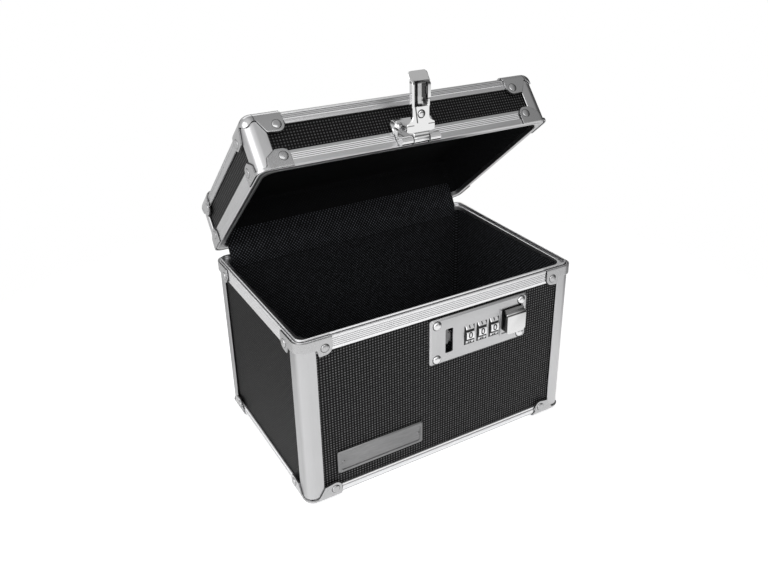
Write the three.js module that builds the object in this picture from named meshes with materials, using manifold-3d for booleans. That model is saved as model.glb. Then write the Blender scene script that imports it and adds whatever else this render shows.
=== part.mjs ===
import * as THREE from 'three';
import { RoundedBoxGeometry } from 'three/addons/geometries/RoundedBoxGeometry.js';
import { mergeVertices } from 'three/addons/utils/BufferGeometryUtils.js';
import Module from 'manifold-3d';

// Medication lock box, lid open, in millimetres. X to the right, Y to the back, Z up.
// The origin is the middle of the bottom panel's underside.

// Body and lid, outside
const BODY_WIDTH = 209.6;
const BODY_DEPTH = 139.7;
const SHOULDER_Z = 120.6;
const LID_GAP = 2.6;
const LID_HEIGHT = 36.2;
const EDGE_RADIUS = 5.2;
const INNER_RADIUS = 8.0;

// Sheet, panels and the gaps between neighbours
const WALL = 1.2;
const CLEAR = 0.3;
const PANEL = 2.2;
const PANEL_REBATE = 0.4;
const LINING = 1.0;
const LINING_CORNER = 8.0;
const WELD = 0.0001;
const BEYOND = 2;
const BLOCK = 60;
const ARC_STEPS = 4;
const BOX_STEPS = 2;

// Extruded rim strips: the body's has a tongue, the lid's a lip that nests inside it
const BODY_RIM_FACE = 9.8;
const LID_RIM_FACE = 10.2;
const RIM_REACH = 4.6;
const RIM_LIP = 0.6;
const RIM_LIP_DROP = 3.0;
const TONGUE_INSET = 0.9;
const TONGUE_THICK = 1.3;
const TONGUE_RISE = 1.7;
const LIP_INSET = 3.0;
const LIP_THICK = 1.3;
const LIP_DROP = 1.85;
const RIB_PITCH = 1.3;
const RIB_GROOVES = 5;
const RIB_WIDTH = 0.6;
const RIB_DEPTH = 0.3;

// Corner posts and edge strips
const POST_FLANGE = 12.0;
const POST_LIFT = 4.5;
const BUTT = POST_FLANGE + CLEAR;
const EDGE_FACE = 8.9;
const LID_EDGE_FACE = 9.5;
const EDGE_LEG = 12.0;
const MITRE_GAP = 0.2;

// Pressed corner caps and rim braces with dome rivets. Places are [along the side, up from
// the box's outer plane]: the lobe ends round the rivet, then its edge runs by the knee, the
// foot and the brow to a border of that height round the middle of the corner.
const SHELL_OUT = 1.2;
const CAP_SOLE = 14.0;
const TOP_CAP = {
  rivet: [18.9, 9.3], lobe: 4.6, knee: [11.9, 13.4], foot: [7.4, 4.9], brow: [5.2, 5.0], middle: 7.8,
};
const FOOT_CAP = {
  rivet: [19.3, 7.9], lobe: 4.7, knee: [12.5, 11.4], foot: [7.6, 3.6], brow: [5.2, 3.4], middle: 3.4,
};
const BODY_BRACE = {
  rivet: [17.4, 6.6], lobe: 4.9, knee: [13.2, 11.9], foot: [12.3, 7.0], brow: [5.2, 6.8], middle: 6.8,
};
const LID_BRACE = {
  rivet: [16.6, 7.0], lobe: 4.6, knee: [12.4, 11.6], foot: [5.3, 6.8], brow: [5.8, 1.7], middle: 1.7,
};
const RIVET_RADIUS = 2.75;
const RIVET_RISE = 1.3;
const RIVET_SINK = 0.4;
const RIVET_STEPS = 12;
const LOBE_STEPS = 5;
const SOLE_STEPS = 8;

// Hinge along the back
const HINGE_BACK = 3.7;
const HINGE_UP = 0.6;
const HINGE_MARGIN = 24.8;
const HINGE_LENGTH = BODY_WIDTH - 2 * HINGE_MARGIN;
const KNUCKLES = 11;
const KNUCKLE_RADIUS = 3.3;
const KNUCKLE_GAP = 0.5;
const HINGE_PIN = 1.3;
const HINGE_BORE = 1.7;
const HINGE_LEAF_DROP = 14.5;
const HINGE_LEAF_RISE = 14.5;
const HINGE_RIVETS = 5;
const HINGE_RIVET_RADIUS = 2.0;
const HINGE_RIVET_RISE = 0.9;
const HINGE_RIVET_EDGE = 4.2;
const ROUND_STEPS = 16;
const OPEN_AT_REST = THREE.MathUtils.degToRad(40.5);

// Fabric strip that closes the gap behind the two rims
const FLAP_MARGIN = 13.0;
const FLAP_WIDTH = BODY_WIDTH - 2 * FLAP_MARGIN;
const FLAP_THICK = 0.8;
const FLAP_ON_BODY = 8.0;
const FLAP_ON_LID = 8.5;
const FLAP_LEAVES = 0.8;

// Lock plate and what stands on it
const PLATE_LEFT = -13.35;
const PLATE_RIGHT = 65.65;
const PLATE_BOTTOM = 75.0;
const PLATE_TOP = 109.0;
const PLATE_CORNER = 2.0;
const PLATE_RISE = 2.6;
const PLATE_BEVEL = 1.2;
const PLATE_RIVET_LEFT = -8.35;
const PLATE_RIVET_RIGHT = 60.25;
const PLATE_RIVET_TOP = 104.9;
const PLATE_RIVET_BOTTOM = 79.3;
const PLATE_RIVET_RADIUS = 2.9;
const SLOT_LEFT = -1.65;
const SLOT_RIGHT = 4.25;
const SLOT_BOTTOM = 82.3;
const SLOT_TOP = 100.3;
const SLOT_CORNER = 0.8;

// Dials
const DIAL_RADIUS = 11.6;
const DIAL_PROUD = 2.0;
const DIAL_WIDTH = 7.4;
const DIAL_FIRST = 17.35;
const DIAL_PITCH = 10.05;
const DIAL_COUNT = 3;
const DIAL_Z = 90.9;
const DIAL_NUMBERS = 10;
const DIAL_NOTCH = 0.8;
const DIAL_NOTCH_SHARE = 0.12;
const DIAL_ARC_STEPS = 4;
const DIAL_BORE = 1.9;
const SHAFT_RADIUS = 1.6;
const WINDOW_WIDTH = 8.2;
const WINDOW_HEIGHT = 14.0;
const WINDOW_CORNER = 1.0;
const WINDOW_CLEAR = 0.4;

// Release button in its recess
const BUTTON_LEFT = 44.95;
const BUTTON_RIGHT = 61.15;
const BUTTON_BOTTOM = 83.3;
const BUTTON_TOP = 101.5;
const BUTTON_FLAT_TOP = 97.5;
const BUTTON_PROUD = 5.0;
const BUTTON_CHAMFER = 2.6;
const BUTTON_EDGE = 0.6;
const BUTTON_STEP_BACK = 1.35;
const BUTTON_STEP_OUT = 0.4;
const BUTTON_STEPS = 2;
const RECESS_LEFT = 43.15;
const RECESS_RIGHT = 61.95;
const RECESS_BOTTOM = 82.5;
const RECESS_TOP = 101.9;
const RECESS_DEPTH = 0.5;
const FIN_THICK = 0.8;
const FIN_RISE = 1.2;
const TRAVEL = 1.5;
const STEM_LEFT = 49.65;
const STEM_WIDTH = 4.0;
const STEM_BOTTOM = 89.7;
const STEM_HEIGHT = 4.2;
const STEM_END = 11.25;

// Latch slide
const SLIDE_LEFT = -6.35;
const SLIDE_RIGHT = 56.65;
const SLIDE_BOTTOM = 100.7;
const SLIDE_TOP = 104.0;
const HOOK_RIGHT = 1.35;
const HOOK_BOTTOM = 88.2;
const NOSE_TIP = 2.95;
const NOSE_BOTTOM = 91.8;
const NOSE_TOP = 96.3;
const NOSE_TAPER = 0.8;
const TAB_LEFT = 47.15;
const TAB_BOTTOM = 87.3;

// Lock case behind the panel
const CASE_LEFT = -9.35;
const CASE_RIGHT = 62.65;
const CASE_BOTTOM = 77.7;
const CASE_TOP = 105.5;
const CASE_BACK = 22.9;
const DIVIDER_LEFT = 11.05;
const DIVIDER_RIGHT = 42.95;
const DIVIDER_SETBACK = 1.55;

// Return spring of the button
const SPRING_RADIUS = 2.0;
const SPRING_WIRE = 0.3;
const SPRING_COILS = 5;
const SPRING_STEPS = 60;
const SPRING_SIDES = 6;
const SPRING_BEHIND = 7.05;

// Nameplate, left bare
const NAME_MARGIN = 22.3;
const NAME_WIDTH = 64.5;
const NAME_LEFT = NAME_MARGIN - BODY_WIDTH / 2;
const NAME_RIGHT = NAME_LEFT + NAME_WIDTH;
const NAME_BOTTOM = 16.1;
const NAME_TOP = 33.0;
const NAME_CORNER = 1.2;
const NAME_RISE = 1.6;
const NAME_BEVEL = 0.8;
const NAME_FIELD = 0.5;
const NAME_BORDER = 1.6;
const NAME_PIN_EDGE = 4.0;
const NAME_PIN_RADIUS = 1.2;
const NAME_PIN_RISE = 0.7;

// Hasp: base plate on the lid's front, arm on its pin
const HASP_X = 0.2;
const HASP_PIN_OUT = 4.0;
const HASP_PIN_UP = 1.5;
const HASP_KNUCKLE = 2.7;
const HASP_PIN_RADIUS = 1.1;
const HASP_BORE = 1.4;
const HASP_KNUCKLE_HALF = 5.6;
const HASP_FLIPPED = THREE.MathUtils.degToRad(140);
const BASE_HALF = 14.0;
const WING_HALF = 15.1;
const WING_LOW = 7.5;
const WING_HIGH = 16.0;
const WING_CHAMFER = 1.6;
const BASE_CUT_UP = 3.5;
const BASE_RIVET_HALF = 9.6;
const BASE_RIVET_UP = 12.1;
const ARM_OUT = 2.5;
const ARM_THICK = 1.2;
const ARM_KNUCKLE_END = 3.4;
const ARM_SHOULDER = 5.2;
const ARM_SHOULDER_END = 11.4;
const ARM_NECK = 13.6;
const ARM_CHANNEL = 20.5;
const ARM_CHANNEL_END = 36.3;
const ARM_END = 43.1;
const SHOULDER_HALF = 10.0;
const SHOULDER_CHAMFER = 1.4;
const NECK_HALF = 6.7;
const CHANNEL_HALF = 6.5;
const TAB_HALF = 7.15;
const TAB_CORNER = 2.5;
const FLANGE_DEEP = 4.2;
const FLANGE_NOSE = 2.0;
const BOSS_AT = 15.6;
const BOSS_RADIUS = 2.75;
const BOSS_RISE = 0.8;
const STAPLE_LEFT = 1.75;
const STAPLE_THICK = 2.1;
const STAPLE_START = 25.5;
const STAPLE_END = 36.0;
const STAPLE_DEEP = 9.2;
const EYE_CLEAR = 0.5;
const EYE_FRONT = 0.65;
const EYE_BACK = 0.55;

// Places that follow from the sizes above
const HALF_W = BODY_WIDTH / 2;
const HALF_D = BODY_DEPTH / 2;
const PANEL_INSET = WALL + CLEAR;
const PANEL_BACK = PANEL_INSET + PANEL;
const LINING_INSET = PANEL_BACK + CLEAR;
const LINING_BACK = LINING_INSET + LINING;
const UNDERSIDE_Z = -PANEL_INSET;
const LID_Z = SHOULDER_Z + LID_GAP;
const LID_TOP_Z = LID_Z + LID_HEIGHT;
const HINGE_Y = HALF_D + HINGE_BACK;
const HINGE_Z = SHOULDER_Z + HINGE_UP;
const FRONT_PANEL_Y = -HALF_D + PANEL_INSET;
const PLATE_REAR_Y = FRONT_PANEL_Y - CLEAR;
const PLATE_Y = PLATE_REAR_Y - PLATE_RISE;
const PLATE_INNER_Y = PLATE_Y + WALL;
const BEHIND_PLATE_Y = PLATE_INNER_Y + CLEAR;
const SLIDE_BACK_Y = BEHIND_PLATE_Y + WALL;
const DIAL_Y = PLATE_Y - DIAL_PROUD + DIAL_RADIUS;
const CASE_BACK_Y = PLATE_Y + CASE_BACK;
const HASP_Y = -HALF_D - HASP_PIN_OUT;
const HASP_Z = LID_Z + HASP_PIN_UP;
const ARM_FRONT_Y = HASP_Y - ARM_OUT;
const ARM_BACK_Y = ARM_FRONT_Y + ARM_THICK;
const LEAF_Y = HALF_D + CLEAR;

const ALUMINIUM = { color: 0xc6c8ca, roughness: 0.34, metalness: 0.9 };
const STEEL = { color: 0xd3d5d6, roughness: 0.22, metalness: 0.95 };
const SATIN = { color: 0xc4c5c6, roughness: 0.3, metalness: 0.92 };
const CHROME = { color: 0xdcdddd, roughness: 0.12, metalness: 1.0 };
const LAMINATE = { color: 0x222325, roughness: 0.62, metalness: 0.0 };
const CLOTH = { color: 0x111112, roughness: 0.92, metalness: 0.0 };
const CASE_BLACK = { color: 0x18191a, roughness: 0.5, metalness: 0.0 };

const wasm = await Module();
wasm.setup();

// Solid from a geometry: welded positions, without the collapsed triangles at poles
function solidOf(geometry) {
  const bare = new THREE.BufferGeometry();
  bare.setAttribute('position', geometry.getAttribute('position').clone());
  if (geometry.index) bare.setIndex(geometry.index.clone());
  const welded = mergeVertices(bare, WELD);
  const corners = [];
  for (let i = 0; i < welded.index.count; i += 3) {
    const [a, b, c] = [0, 1, 2].map((k) => welded.index.getX(i + k));
    if (a !== b && b !== c && c !== a) corners.push(a, b, c);
  }
  return new wasm.Manifold(new wasm.Mesh({
    numProp: 3,
    vertProperties: new Float32Array(welded.getAttribute('position').array),
    triVerts: new Uint32Array(corners),
  }));
}

function geometryOf(solid) {
  const mesh = solid.getMesh();
  const geometry = new THREE.BufferGeometry();
  geometry.setAttribute('position', new THREE.BufferAttribute(new Float32Array(mesh.vertProperties), 3));
  geometry.setIndex(new THREE.BufferAttribute(new Uint32Array(mesh.triVerts), 1));
  return geometry;
}

function join(solids) {
  return solids.reduce((sum, solid) => sum.add(solid));
}

function box(x0, x1, y0, y1, z0, z1) {
  const geometry = new THREE.BoxGeometry(x1 - x0, y1 - y0, z1 - z0);
  geometry.translate((x0 + x1) / 2, (y0 + y1) / 2, (z0 + z1) / 2);
  return solidOf(geometry);
}

function extruded(outline, depth, holes = []) {
  const shape = new THREE.Shape(outline.map(([u, v]) => new THREE.Vector2(u, v)));
  holes.forEach((hole) => shape.holes.push(new THREE.Path(hole.map(([u, v]) => new THREE.Vector2(u, v)))));
  return new THREE.ExtrudeGeometry(shape, { depth, bevelEnabled: false });
}

// Prisms along each axis; the outline is given in (y, z), (x, z) or (x, y)
function prismX(outline, x0, x1, holes = []) {
  const geometry = extruded(outline, x1 - x0, holes);
  const turn = new THREE.Matrix4().makeBasis(
    new THREE.Vector3(0, 1, 0), new THREE.Vector3(0, 0, 1), new THREE.Vector3(1, 0, 0));
  return solidOf(geometry.applyMatrix4(turn).translate(x0, 0, 0));
}

function prismY(outline, y0, y1) {
  const geometry = extruded(outline, y1 - y0);
  const turn = new THREE.Matrix4().makeBasis(
    new THREE.Vector3(1, 0, 0), new THREE.Vector3(0, 0, 1), new THREE.Vector3(0, -1, 0));
  return solidOf(geometry.applyMatrix4(turn).translate(0, y1, 0));
}

function prismZ(outline, z0, z1) {
  return solidOf(extruded(outline, z1 - z0).translate(0, 0, z0));
}

function arc(cu, cv, radius, from, to, steps) {
  const points = [];
  for (let i = 0; i <= steps; i += 1) {
    const angle = from + (to - from) * i / steps;
    points.push([cu + radius * Math.cos(angle), cv + radius * Math.sin(angle)]);
  }
  return points;
}

function roundedRect(u0, u1, v0, v1, radius) {
  const quarter = Math.PI / 2;
  return [
    ...arc(u1 - radius, v1 - radius, radius, 0, quarter, ARC_STEPS),
    ...arc(u0 + radius, v1 - radius, radius, quarter, 2 * quarter, ARC_STEPS),
    ...arc(u0 + radius, v0 + radius, radius, 2 * quarter, 3 * quarter, ARC_STEPS),
    ...arc(u1 - radius, v0 + radius, radius, 3 * quarter, 4 * quarter, ARC_STEPS),
  ];
}

function circle(cu, cv, radius, steps) {
  return arc(cu, cv, radius, 0, 2 * Math.PI, steps).slice(0, steps);
}

// Closed band through rings of points, turned outward by its signed volume
function band(rings, closed) {
  const count = rings[0].length;
  const corners = [];
  const last = closed ? rings.length : rings.length - 1;
  for (let r = 0; r < last; r += 1) {
    const here = r * count;
    const next = ((r + 1) % rings.length) * count;
    for (let i = 0; i < count; i += 1) {
      const j = (i + 1) % count;
      corners.push(here + i, here + j, next + i, here + j, next + j, next + i);
    }
  }
  if (!closed) {
    const top = (rings.length - 1) * count;
    for (let i = 1; i < count - 1; i += 1) corners.push(0, i + 1, i, top, top + i, top + i + 1);
  }
  const points = rings.flat();
  let volume = 0;
  for (let i = 0; i < corners.length; i += 3) {
    const [a, b, c] = [0, 1, 2].map((k) => new THREE.Vector3(...points[corners[i + k]]));
    volume += a.dot(b.cross(c));
  }
  if (volume < 0) corners.reverse();
  const geometry = new THREE.BufferGeometry();
  geometry.setAttribute('position', new THREE.Float32BufferAttribute(points.flat(), 3));
  geometry.setIndex(corners);
  return solidOf(geometry);
}

// Profile (inset, height) swept once round the plan of the box: its corners are parallel to
// the outer face, then widen towards the inner edge's larger radius
function ring(profile, z) {
  const quarter = Math.PI / 2;
  const rings = [];
  [[1, 1], [-1, 1], [-1, -1], [1, -1]].forEach(([sx, sy], k) => {
    for (let i = 0; i <= ARC_STEPS; i += 1) {
      const angle = quarter * (k + i / ARC_STEPS);
      rings.push(profile.map(([inset, up]) => {
        const radius = Math.max(EDGE_RADIUS - inset, INNER_RADIUS * inset / RIM_REACH);
        return [
          sx * (HALF_W - inset - radius) + radius * Math.cos(angle),
          sy * (HALF_D - inset - radius) + radius * Math.sin(angle),
          z + up,
        ];
      }));
    }
  });
  return band(rings, true);
}

// Raised plate on a front face: full outline at the back, bevelled towards the face
function tray(x0, x1, z0, z1, radius, rearY, frontY, bevel, shrink) {
  const rings = [[rearY, 0], [frontY + bevel, 0], [frontY, bevel]].map(([y, inset]) => {
    const cut = inset + shrink;
    return roundedRect(x0 + cut, x1 - cut, z0 + cut, z1 - cut, radius).map(([x, z]) => [x, y, z]);
  });
  return band(rings, false);
}

// Dome along +Y of its own frame, closed below by a short shank
function dome(radius, rise, sink, steps) {
  const points = [new THREE.Vector2(0, -sink), new THREE.Vector2(radius, -sink), new THREE.Vector2(radius, 0)];
  const middleShare = 0.72;
  const middleRise = Math.sqrt(1 - middleShare * middleShare);
  points.push(new THREE.Vector2(radius * middleShare, rise * middleRise), new THREE.Vector2(0, rise));
  return new THREE.LatheGeometry(points, steps);
}

function domeFacing(x, y, z, direction, radius, rise) {
  const turn = new THREE.Quaternion().setFromUnitVectors(new THREE.Vector3(0, 1, 0), direction);
  const geometry = dome(radius, rise, RIVET_SINK, RIVET_STEPS);
  return solidOf(geometry.applyQuaternion(turn).translate(x, y, z));
}

const FORWARD = new THREE.Vector3(0, -1, 0);
const BACKWARD = new THREE.Vector3(0, 1, 0);
const LEFTWARD = new THREE.Vector3(-1, 0, 0);

function tubeX(y, z, radius, x0, x1, steps) {
  return prismX(circle(y, z, radius, steps), x0, x1);
}

// Move a solid built at a corner (outer faces on the three zero planes) to where it belongs
function placed(solid, xAxis, yAxis, zAxis, at) {
  const matrix = new THREE.Matrix4().makeBasis(xAxis, yAxis, zAxis).setPosition(at);
  const geometry = geometryOf(solid).applyMatrix4(matrix);
  if (matrix.determinant() < 0) {
    const turned = Array.from(geometry.index.array).reverse();
    geometry.setIndex(turned);
  }
  return solidOf(geometry);
}

function atCorner(solid, sx, sy, z, up) {
  return placed(solid, new THREE.Vector3(-sx, 0, 0), new THREE.Vector3(0, -sy, 0),
    new THREE.Vector3(0, 0, up), new THREE.Vector3(sx * HALF_W, sy * HALF_D, z));
}

// Outer face of a strip with a band of fine V grooves round its middle
function ribbedFace(from, to) {
  const middle = (from + to) / 2;
  const sign = Math.sign(to - from);
  const points = [[0, from]];
  for (let i = 0; i < RIB_GROOVES; i += 1) {
    const at = middle + sign * RIB_PITCH * (i - (RIB_GROOVES - 1) / 2);
    points.push([0, at - sign * RIB_WIDTH / 2], [RIB_DEPTH, at], [0, at + sign * RIB_WIDTH / 2]);
  }
  points.push([0, to]);
  return points;
}

// Corner angle in plan between two insets, with its rounded corner
function angleOutline(reach, outerInset, innerInset) {
  const down = -Math.PI / 2;
  return [
    [reach, outerInset],
    ...arc(EDGE_RADIUS, EDGE_RADIUS, EDGE_RADIUS - outerInset, down, 2 * down, ARC_STEPS),
    [outerInset, reach],
    [innerInset, reach],
    ...arc(EDGE_RADIUS, EDGE_RADIUS, EDGE_RADIUS - innerInset, 2 * down, down, ARC_STEPS),
    [reach, innerInset],
  ];
}

function cutRimAtPosts(rim, z0, z1) {
  const notch = prismZ(angleOutline(BUTT, -1, WALL + CLEAR / 2), z0, z1);
  return [[-1, -1], [1, -1], [-1, 1], [1, 1]].reduce(
    (left, [sx, sy]) => left.subtract(atCorner(notch, sx, sy, 0, 1)), rim);
}

function bodyRim() {
  const tongueEnd = TONGUE_INSET + TONGUE_THICK;
  const profile = [
    ...ribbedFace(-BODY_RIM_FACE, 0),
    [TONGUE_INSET, 0], [TONGUE_INSET, TONGUE_RISE],
    [tongueEnd, TONGUE_RISE], [tongueEnd, 0],
    [RIM_REACH, 0], [RIM_REACH, -RIM_LIP_DROP],
    [RIM_REACH - RIM_LIP, -RIM_LIP_DROP], [RIM_REACH - RIM_LIP, -WALL],
    [WALL, -WALL], [WALL, -BODY_RIM_FACE],
  ];
  const rim = ring(profile, SHOULDER_Z);
  return cutRimAtPosts(rim, SHOULDER_Z - BODY_RIM_FACE - 1, SHOULDER_Z - WALL);
}

function lidRim() {
  const lipEnd = LIP_INSET + LIP_THICK;
  const profile = [
    ...ribbedFace(LID_RIM_FACE, 0),
    [LIP_INSET, 0], [LIP_INSET, -LIP_DROP],
    [lipEnd, -LIP_DROP], [lipEnd, 0],
    [RIM_REACH, 0], [RIM_REACH, RIM_LIP_DROP],
    [RIM_REACH - RIM_LIP, RIM_LIP_DROP], [RIM_REACH - RIM_LIP, WALL],
    [WALL, WALL], [WALL, LID_RIM_FACE],
  ];
  const rim = ring(profile, LID_Z);
  return cutRimAtPosts(rim, LID_Z + WALL, LID_Z + LID_RIM_FACE + 1);
}

function bodyPost(sx, sy) {
  const post = prismZ(angleOutline(POST_FLANGE, 0, WALL), POST_LIFT, SHOULDER_Z - UNDERSIDE_Z - PANEL_INSET);
  return atCorner(post, sx, sy, UNDERSIDE_Z, 1);
}

function lidPost(sx, sy) {
  const post = prismZ(angleOutline(POST_FLANGE, 0, WALL), POST_LIFT, LID_HEIGHT - PANEL_INSET);
  return atCorner(post, sx, sy, LID_TOP_Z, -1);
}

// Edge strip: ribbed leg on the side, flat leg below, mitred at both ends, its standing leg
// stopped short of the posts, and rounded where it meets the corners
function edgeStrip(length, face) {
  const inner = EDGE_RADIUS - WALL;
  const profile = [
    ...ribbedFace(face, 0),
    [EDGE_LEG, 0], [EDGE_LEG, WALL],
    ...arc(EDGE_RADIUS, EDGE_RADIUS, inner, -Math.PI / 2, -Math.PI, ARC_STEPS),
    [WALL, face],
  ];
  let strip = prismX(profile, 0, length);
  const mitre = (flip) => {
    const at = (x) => (flip ? length - x : x);
    return prismZ([
      [at(MITRE_GAP - BEYOND), -BEYOND], [at(MITRE_GAP + BLOCK), BLOCK],
      [at(-BEYOND), BLOCK], [at(-BEYOND), -BEYOND],
    ], -BEYOND, BLOCK);
  };
  const standing = POST_LIFT - CLEAR;
  strip = strip.subtract(mitre(false)).subtract(mitre(true));
  strip = strip.subtract(box(-1, BUTT, -1, BLOCK, standing, BLOCK));
  strip = strip.subtract(box(length - BUTT, length + 1, -1, BLOCK, standing, BLOCK));
  const rounded = new RoundedBoxGeometry(length, BLOCK, BLOCK, BOX_STEPS, EDGE_RADIUS);
  return strip.intersect(solidOf(rounded.translate(length / 2, BLOCK / 2, BLOCK / 2)));
}

function edgesAt(z, up, face) {
  const wide = edgeStrip(BODY_WIDTH, face);
  const deep = edgeStrip(BODY_DEPTH, face);
  const zAxis = new THREE.Vector3(0, 0, up);
  return {
    front: placed(wide, new THREE.Vector3(1, 0, 0), new THREE.Vector3(0, 1, 0), zAxis,
      new THREE.Vector3(-HALF_W, -HALF_D, z)),
    rear: placed(wide, new THREE.Vector3(1, 0, 0), new THREE.Vector3(0, -1, 0), zAxis,
      new THREE.Vector3(-HALF_W, HALF_D, z)),
    left: placed(deep, new THREE.Vector3(0, 1, 0), new THREE.Vector3(1, 0, 0), zAxis,
      new THREE.Vector3(-HALF_W, -HALF_D, z)),
    right: placed(deep, new THREE.Vector3(0, 1, 0), new THREE.Vector3(-1, 0, 0), zAxis,
      new THREE.Vector3(HALF_W, -HALF_D, z)),
  };
}

// Both lobes of a pressed corner as one thick solid, with everything behind them
function lobes(kind, depth) {
  const [along, up] = kind.rivet;
  const outline = [
    [-BEYOND, -BEYOND], [along + kind.lobe, -BEYOND],
    ...arc(along, up, kind.lobe, 0, Math.PI / 2, LOBE_STEPS),
    kind.knee, kind.foot, kind.brow, [0, kind.middle], [-BEYOND, kind.middle],
  ];
  return prismY(outline, -BEYOND, depth).add(prismX(outline, -BEYOND, depth));
}

function cornerRivets(kind) {
  const [along, up] = kind.rivet;
  return [
    domeFacing(along, -SHELL_OUT, up, FORWARD, RIVET_RADIUS, RIVET_RISE),
    domeFacing(-SHELL_OUT, along, up, LEFTWARD, RIVET_RADIUS, RIVET_RISE),
  ];
}

function roundedCorner(outset) {
  const radius = EDGE_RADIUS + outset;
  const geometry = new RoundedBoxGeometry(BLOCK, BLOCK, BLOCK, BOX_STEPS, radius);
  const middle = BLOCK / 2 - outset;
  return solidOf(geometry.translate(middle, middle, middle));
}

function cornerCap(kind) {
  const soleTop = Math.min(kind.middle, kind.foot[1]);
  const sole = prismZ([
    [-BEYOND, -BEYOND], ...arc(0, 0, CAP_SOLE, 0, Math.PI / 2, SOLE_STEPS),
  ], -BEYOND, soleTop);
  const outline = lobes(kind, EDGE_RADIUS + SHELL_OUT).add(sole);
  const shell = roundedCorner(SHELL_OUT).subtract(roundedCorner(CLEAR)).intersect(outline);
  return join([shell, ...cornerRivets(kind)]);
}

function rimBrace(kind) {
  const reach = kind.rivet[0] + kind.lobe;
  const shell = prismZ(angleOutline(reach, -SHELL_OUT, -CLEAR), 0, BLOCK);
  return join([shell.intersect(lobes(kind, EDGE_RADIUS)), ...cornerRivets(kind)]);
}

// Four wall panels and one end panel of a box between two heights
function panels(z0, z1, endZ) {
  const side = HALF_W - EDGE_RADIUS;
  const deep = HALF_D - EDGE_RADIUS;
  return {
    front: box(-side, side, -HALF_D + PANEL_INSET, -HALF_D + PANEL_BACK, z0, z1),
    rear: box(-side, side, HALF_D - PANEL_BACK, HALF_D - PANEL_INSET, z0, z1),
    left: box(-HALF_W + PANEL_INSET, -HALF_W + PANEL_BACK, -deep, deep, z0, z1),
    right: box(HALF_W - PANEL_BACK, HALF_W - PANEL_INSET, -deep, deep, z0, z1),
    end: box(-side, side, -deep, deep, endZ, endZ + PANEL),
  };
}

// Bottom panel: its border is rebated where it lies over the legs of the edge strips
function bottomPanel(slab) {
  const x = HALF_W - EDGE_LEG - CLEAR;
  const y = HALF_D - EDGE_LEG - CLEAR;
  const border = box(-HALF_W, HALF_W, -HALF_D, HALF_D, -PANEL, PANEL_REBATE);
  return slab.subtract(border.subtract(box(-x, x, -y, y, -BLOCK, BLOCK)));
}

function caseHole() {
  return box(CASE_LEFT - CLEAR, CASE_RIGHT + CLEAR, -HALF_D, CASE_BACK_Y,
    CASE_BOTTOM - CLEAR, CASE_TOP + CLEAR);
}

function liningShell(z0, z1, openUp) {
  const outerX = HALF_W - LINING_INSET;
  const outerY = HALF_D - LINING_INSET;
  const hollow0 = openUp ? z0 + LINING : z0 - 1;
  const hollow1 = openUp ? z1 + 1 : z1 - LINING;
  const outer = box(-outerX, outerX, -outerY, outerY, z0, z1);
  const hollow = roundedRect(-outerX + LINING, outerX - LINING, -outerY + LINING, outerY - LINING,
    LINING_CORNER);
  return outer.subtract(prismZ(hollow, hollow0, hollow1));
}

// Lock plate: bevelled tray with its slot, dial windows, button recess and rivets
function windowCut(x) {
  const half = WINDOW_WIDTH / 2;
  const opening = roundedRect(x - half, x + half, DIAL_Z - WINDOW_HEIGHT / 2, DIAL_Z + WINDOW_HEIGHT / 2,
    WINDOW_CORNER);
  const round = tubeX(DIAL_Y, DIAL_Z, DIAL_RADIUS + WINDOW_CLEAR, x - half, x + half, 2 * ROUND_STEPS);
  return prismY(opening, PLATE_Y - 1, PLATE_INNER_Y + 1).add(round);
}

function lockPlate() {
  const sides = [PLATE_LEFT, PLATE_RIGHT, PLATE_BOTTOM, PLATE_TOP];
  let plate = tray(...sides, PLATE_CORNER, PLATE_REAR_Y, PLATE_Y, PLATE_BEVEL, 0);
  plate = plate.subtract(tray(...sides, PLATE_CORNER, PLATE_REAR_Y + 1, PLATE_INNER_Y, PLATE_BEVEL, WALL));
  const slot = roundedRect(SLOT_LEFT, SLOT_RIGHT, SLOT_BOTTOM, SLOT_TOP, SLOT_CORNER);
  plate = plate.subtract(prismY(slot, PLATE_Y - 1, PLATE_REAR_Y));
  for (let i = 0; i < DIAL_COUNT; i += 1) plate = plate.subtract(windowCut(DIAL_FIRST + i * DIAL_PITCH));
  plate = plate.subtract(box(RECESS_LEFT, RECESS_RIGHT, PLATE_Y - 1, PLATE_Y + RECESS_DEPTH,
    RECESS_BOTTOM, RECESS_TOP));
  plate = plate.subtract(box(STEM_LEFT - TRAVEL - CLEAR, STEM_LEFT + STEM_WIDTH + CLEAR, PLATE_Y - 1,
    PLATE_REAR_Y, STEM_BOTTOM - CLEAR, STEM_BOTTOM + STEM_HEIGHT + CLEAR));
  const fin = box(RECESS_LEFT - FIN_THICK, RECESS_LEFT, PLATE_Y - FIN_RISE, PLATE_Y + WALL / 2,
    RECESS_BOTTOM, RECESS_TOP);
  const rivets = [PLATE_RIVET_LEFT, PLATE_RIVET_RIGHT].flatMap((x) => (
    [PLATE_RIVET_BOTTOM, PLATE_RIVET_TOP].map((z) => (
      domeFacing(x, PLATE_Y, z, FORWARD, PLATE_RIVET_RADIUS, RIVET_RISE)))));
  return join([plate, fin, ...rivets]);
}

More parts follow.
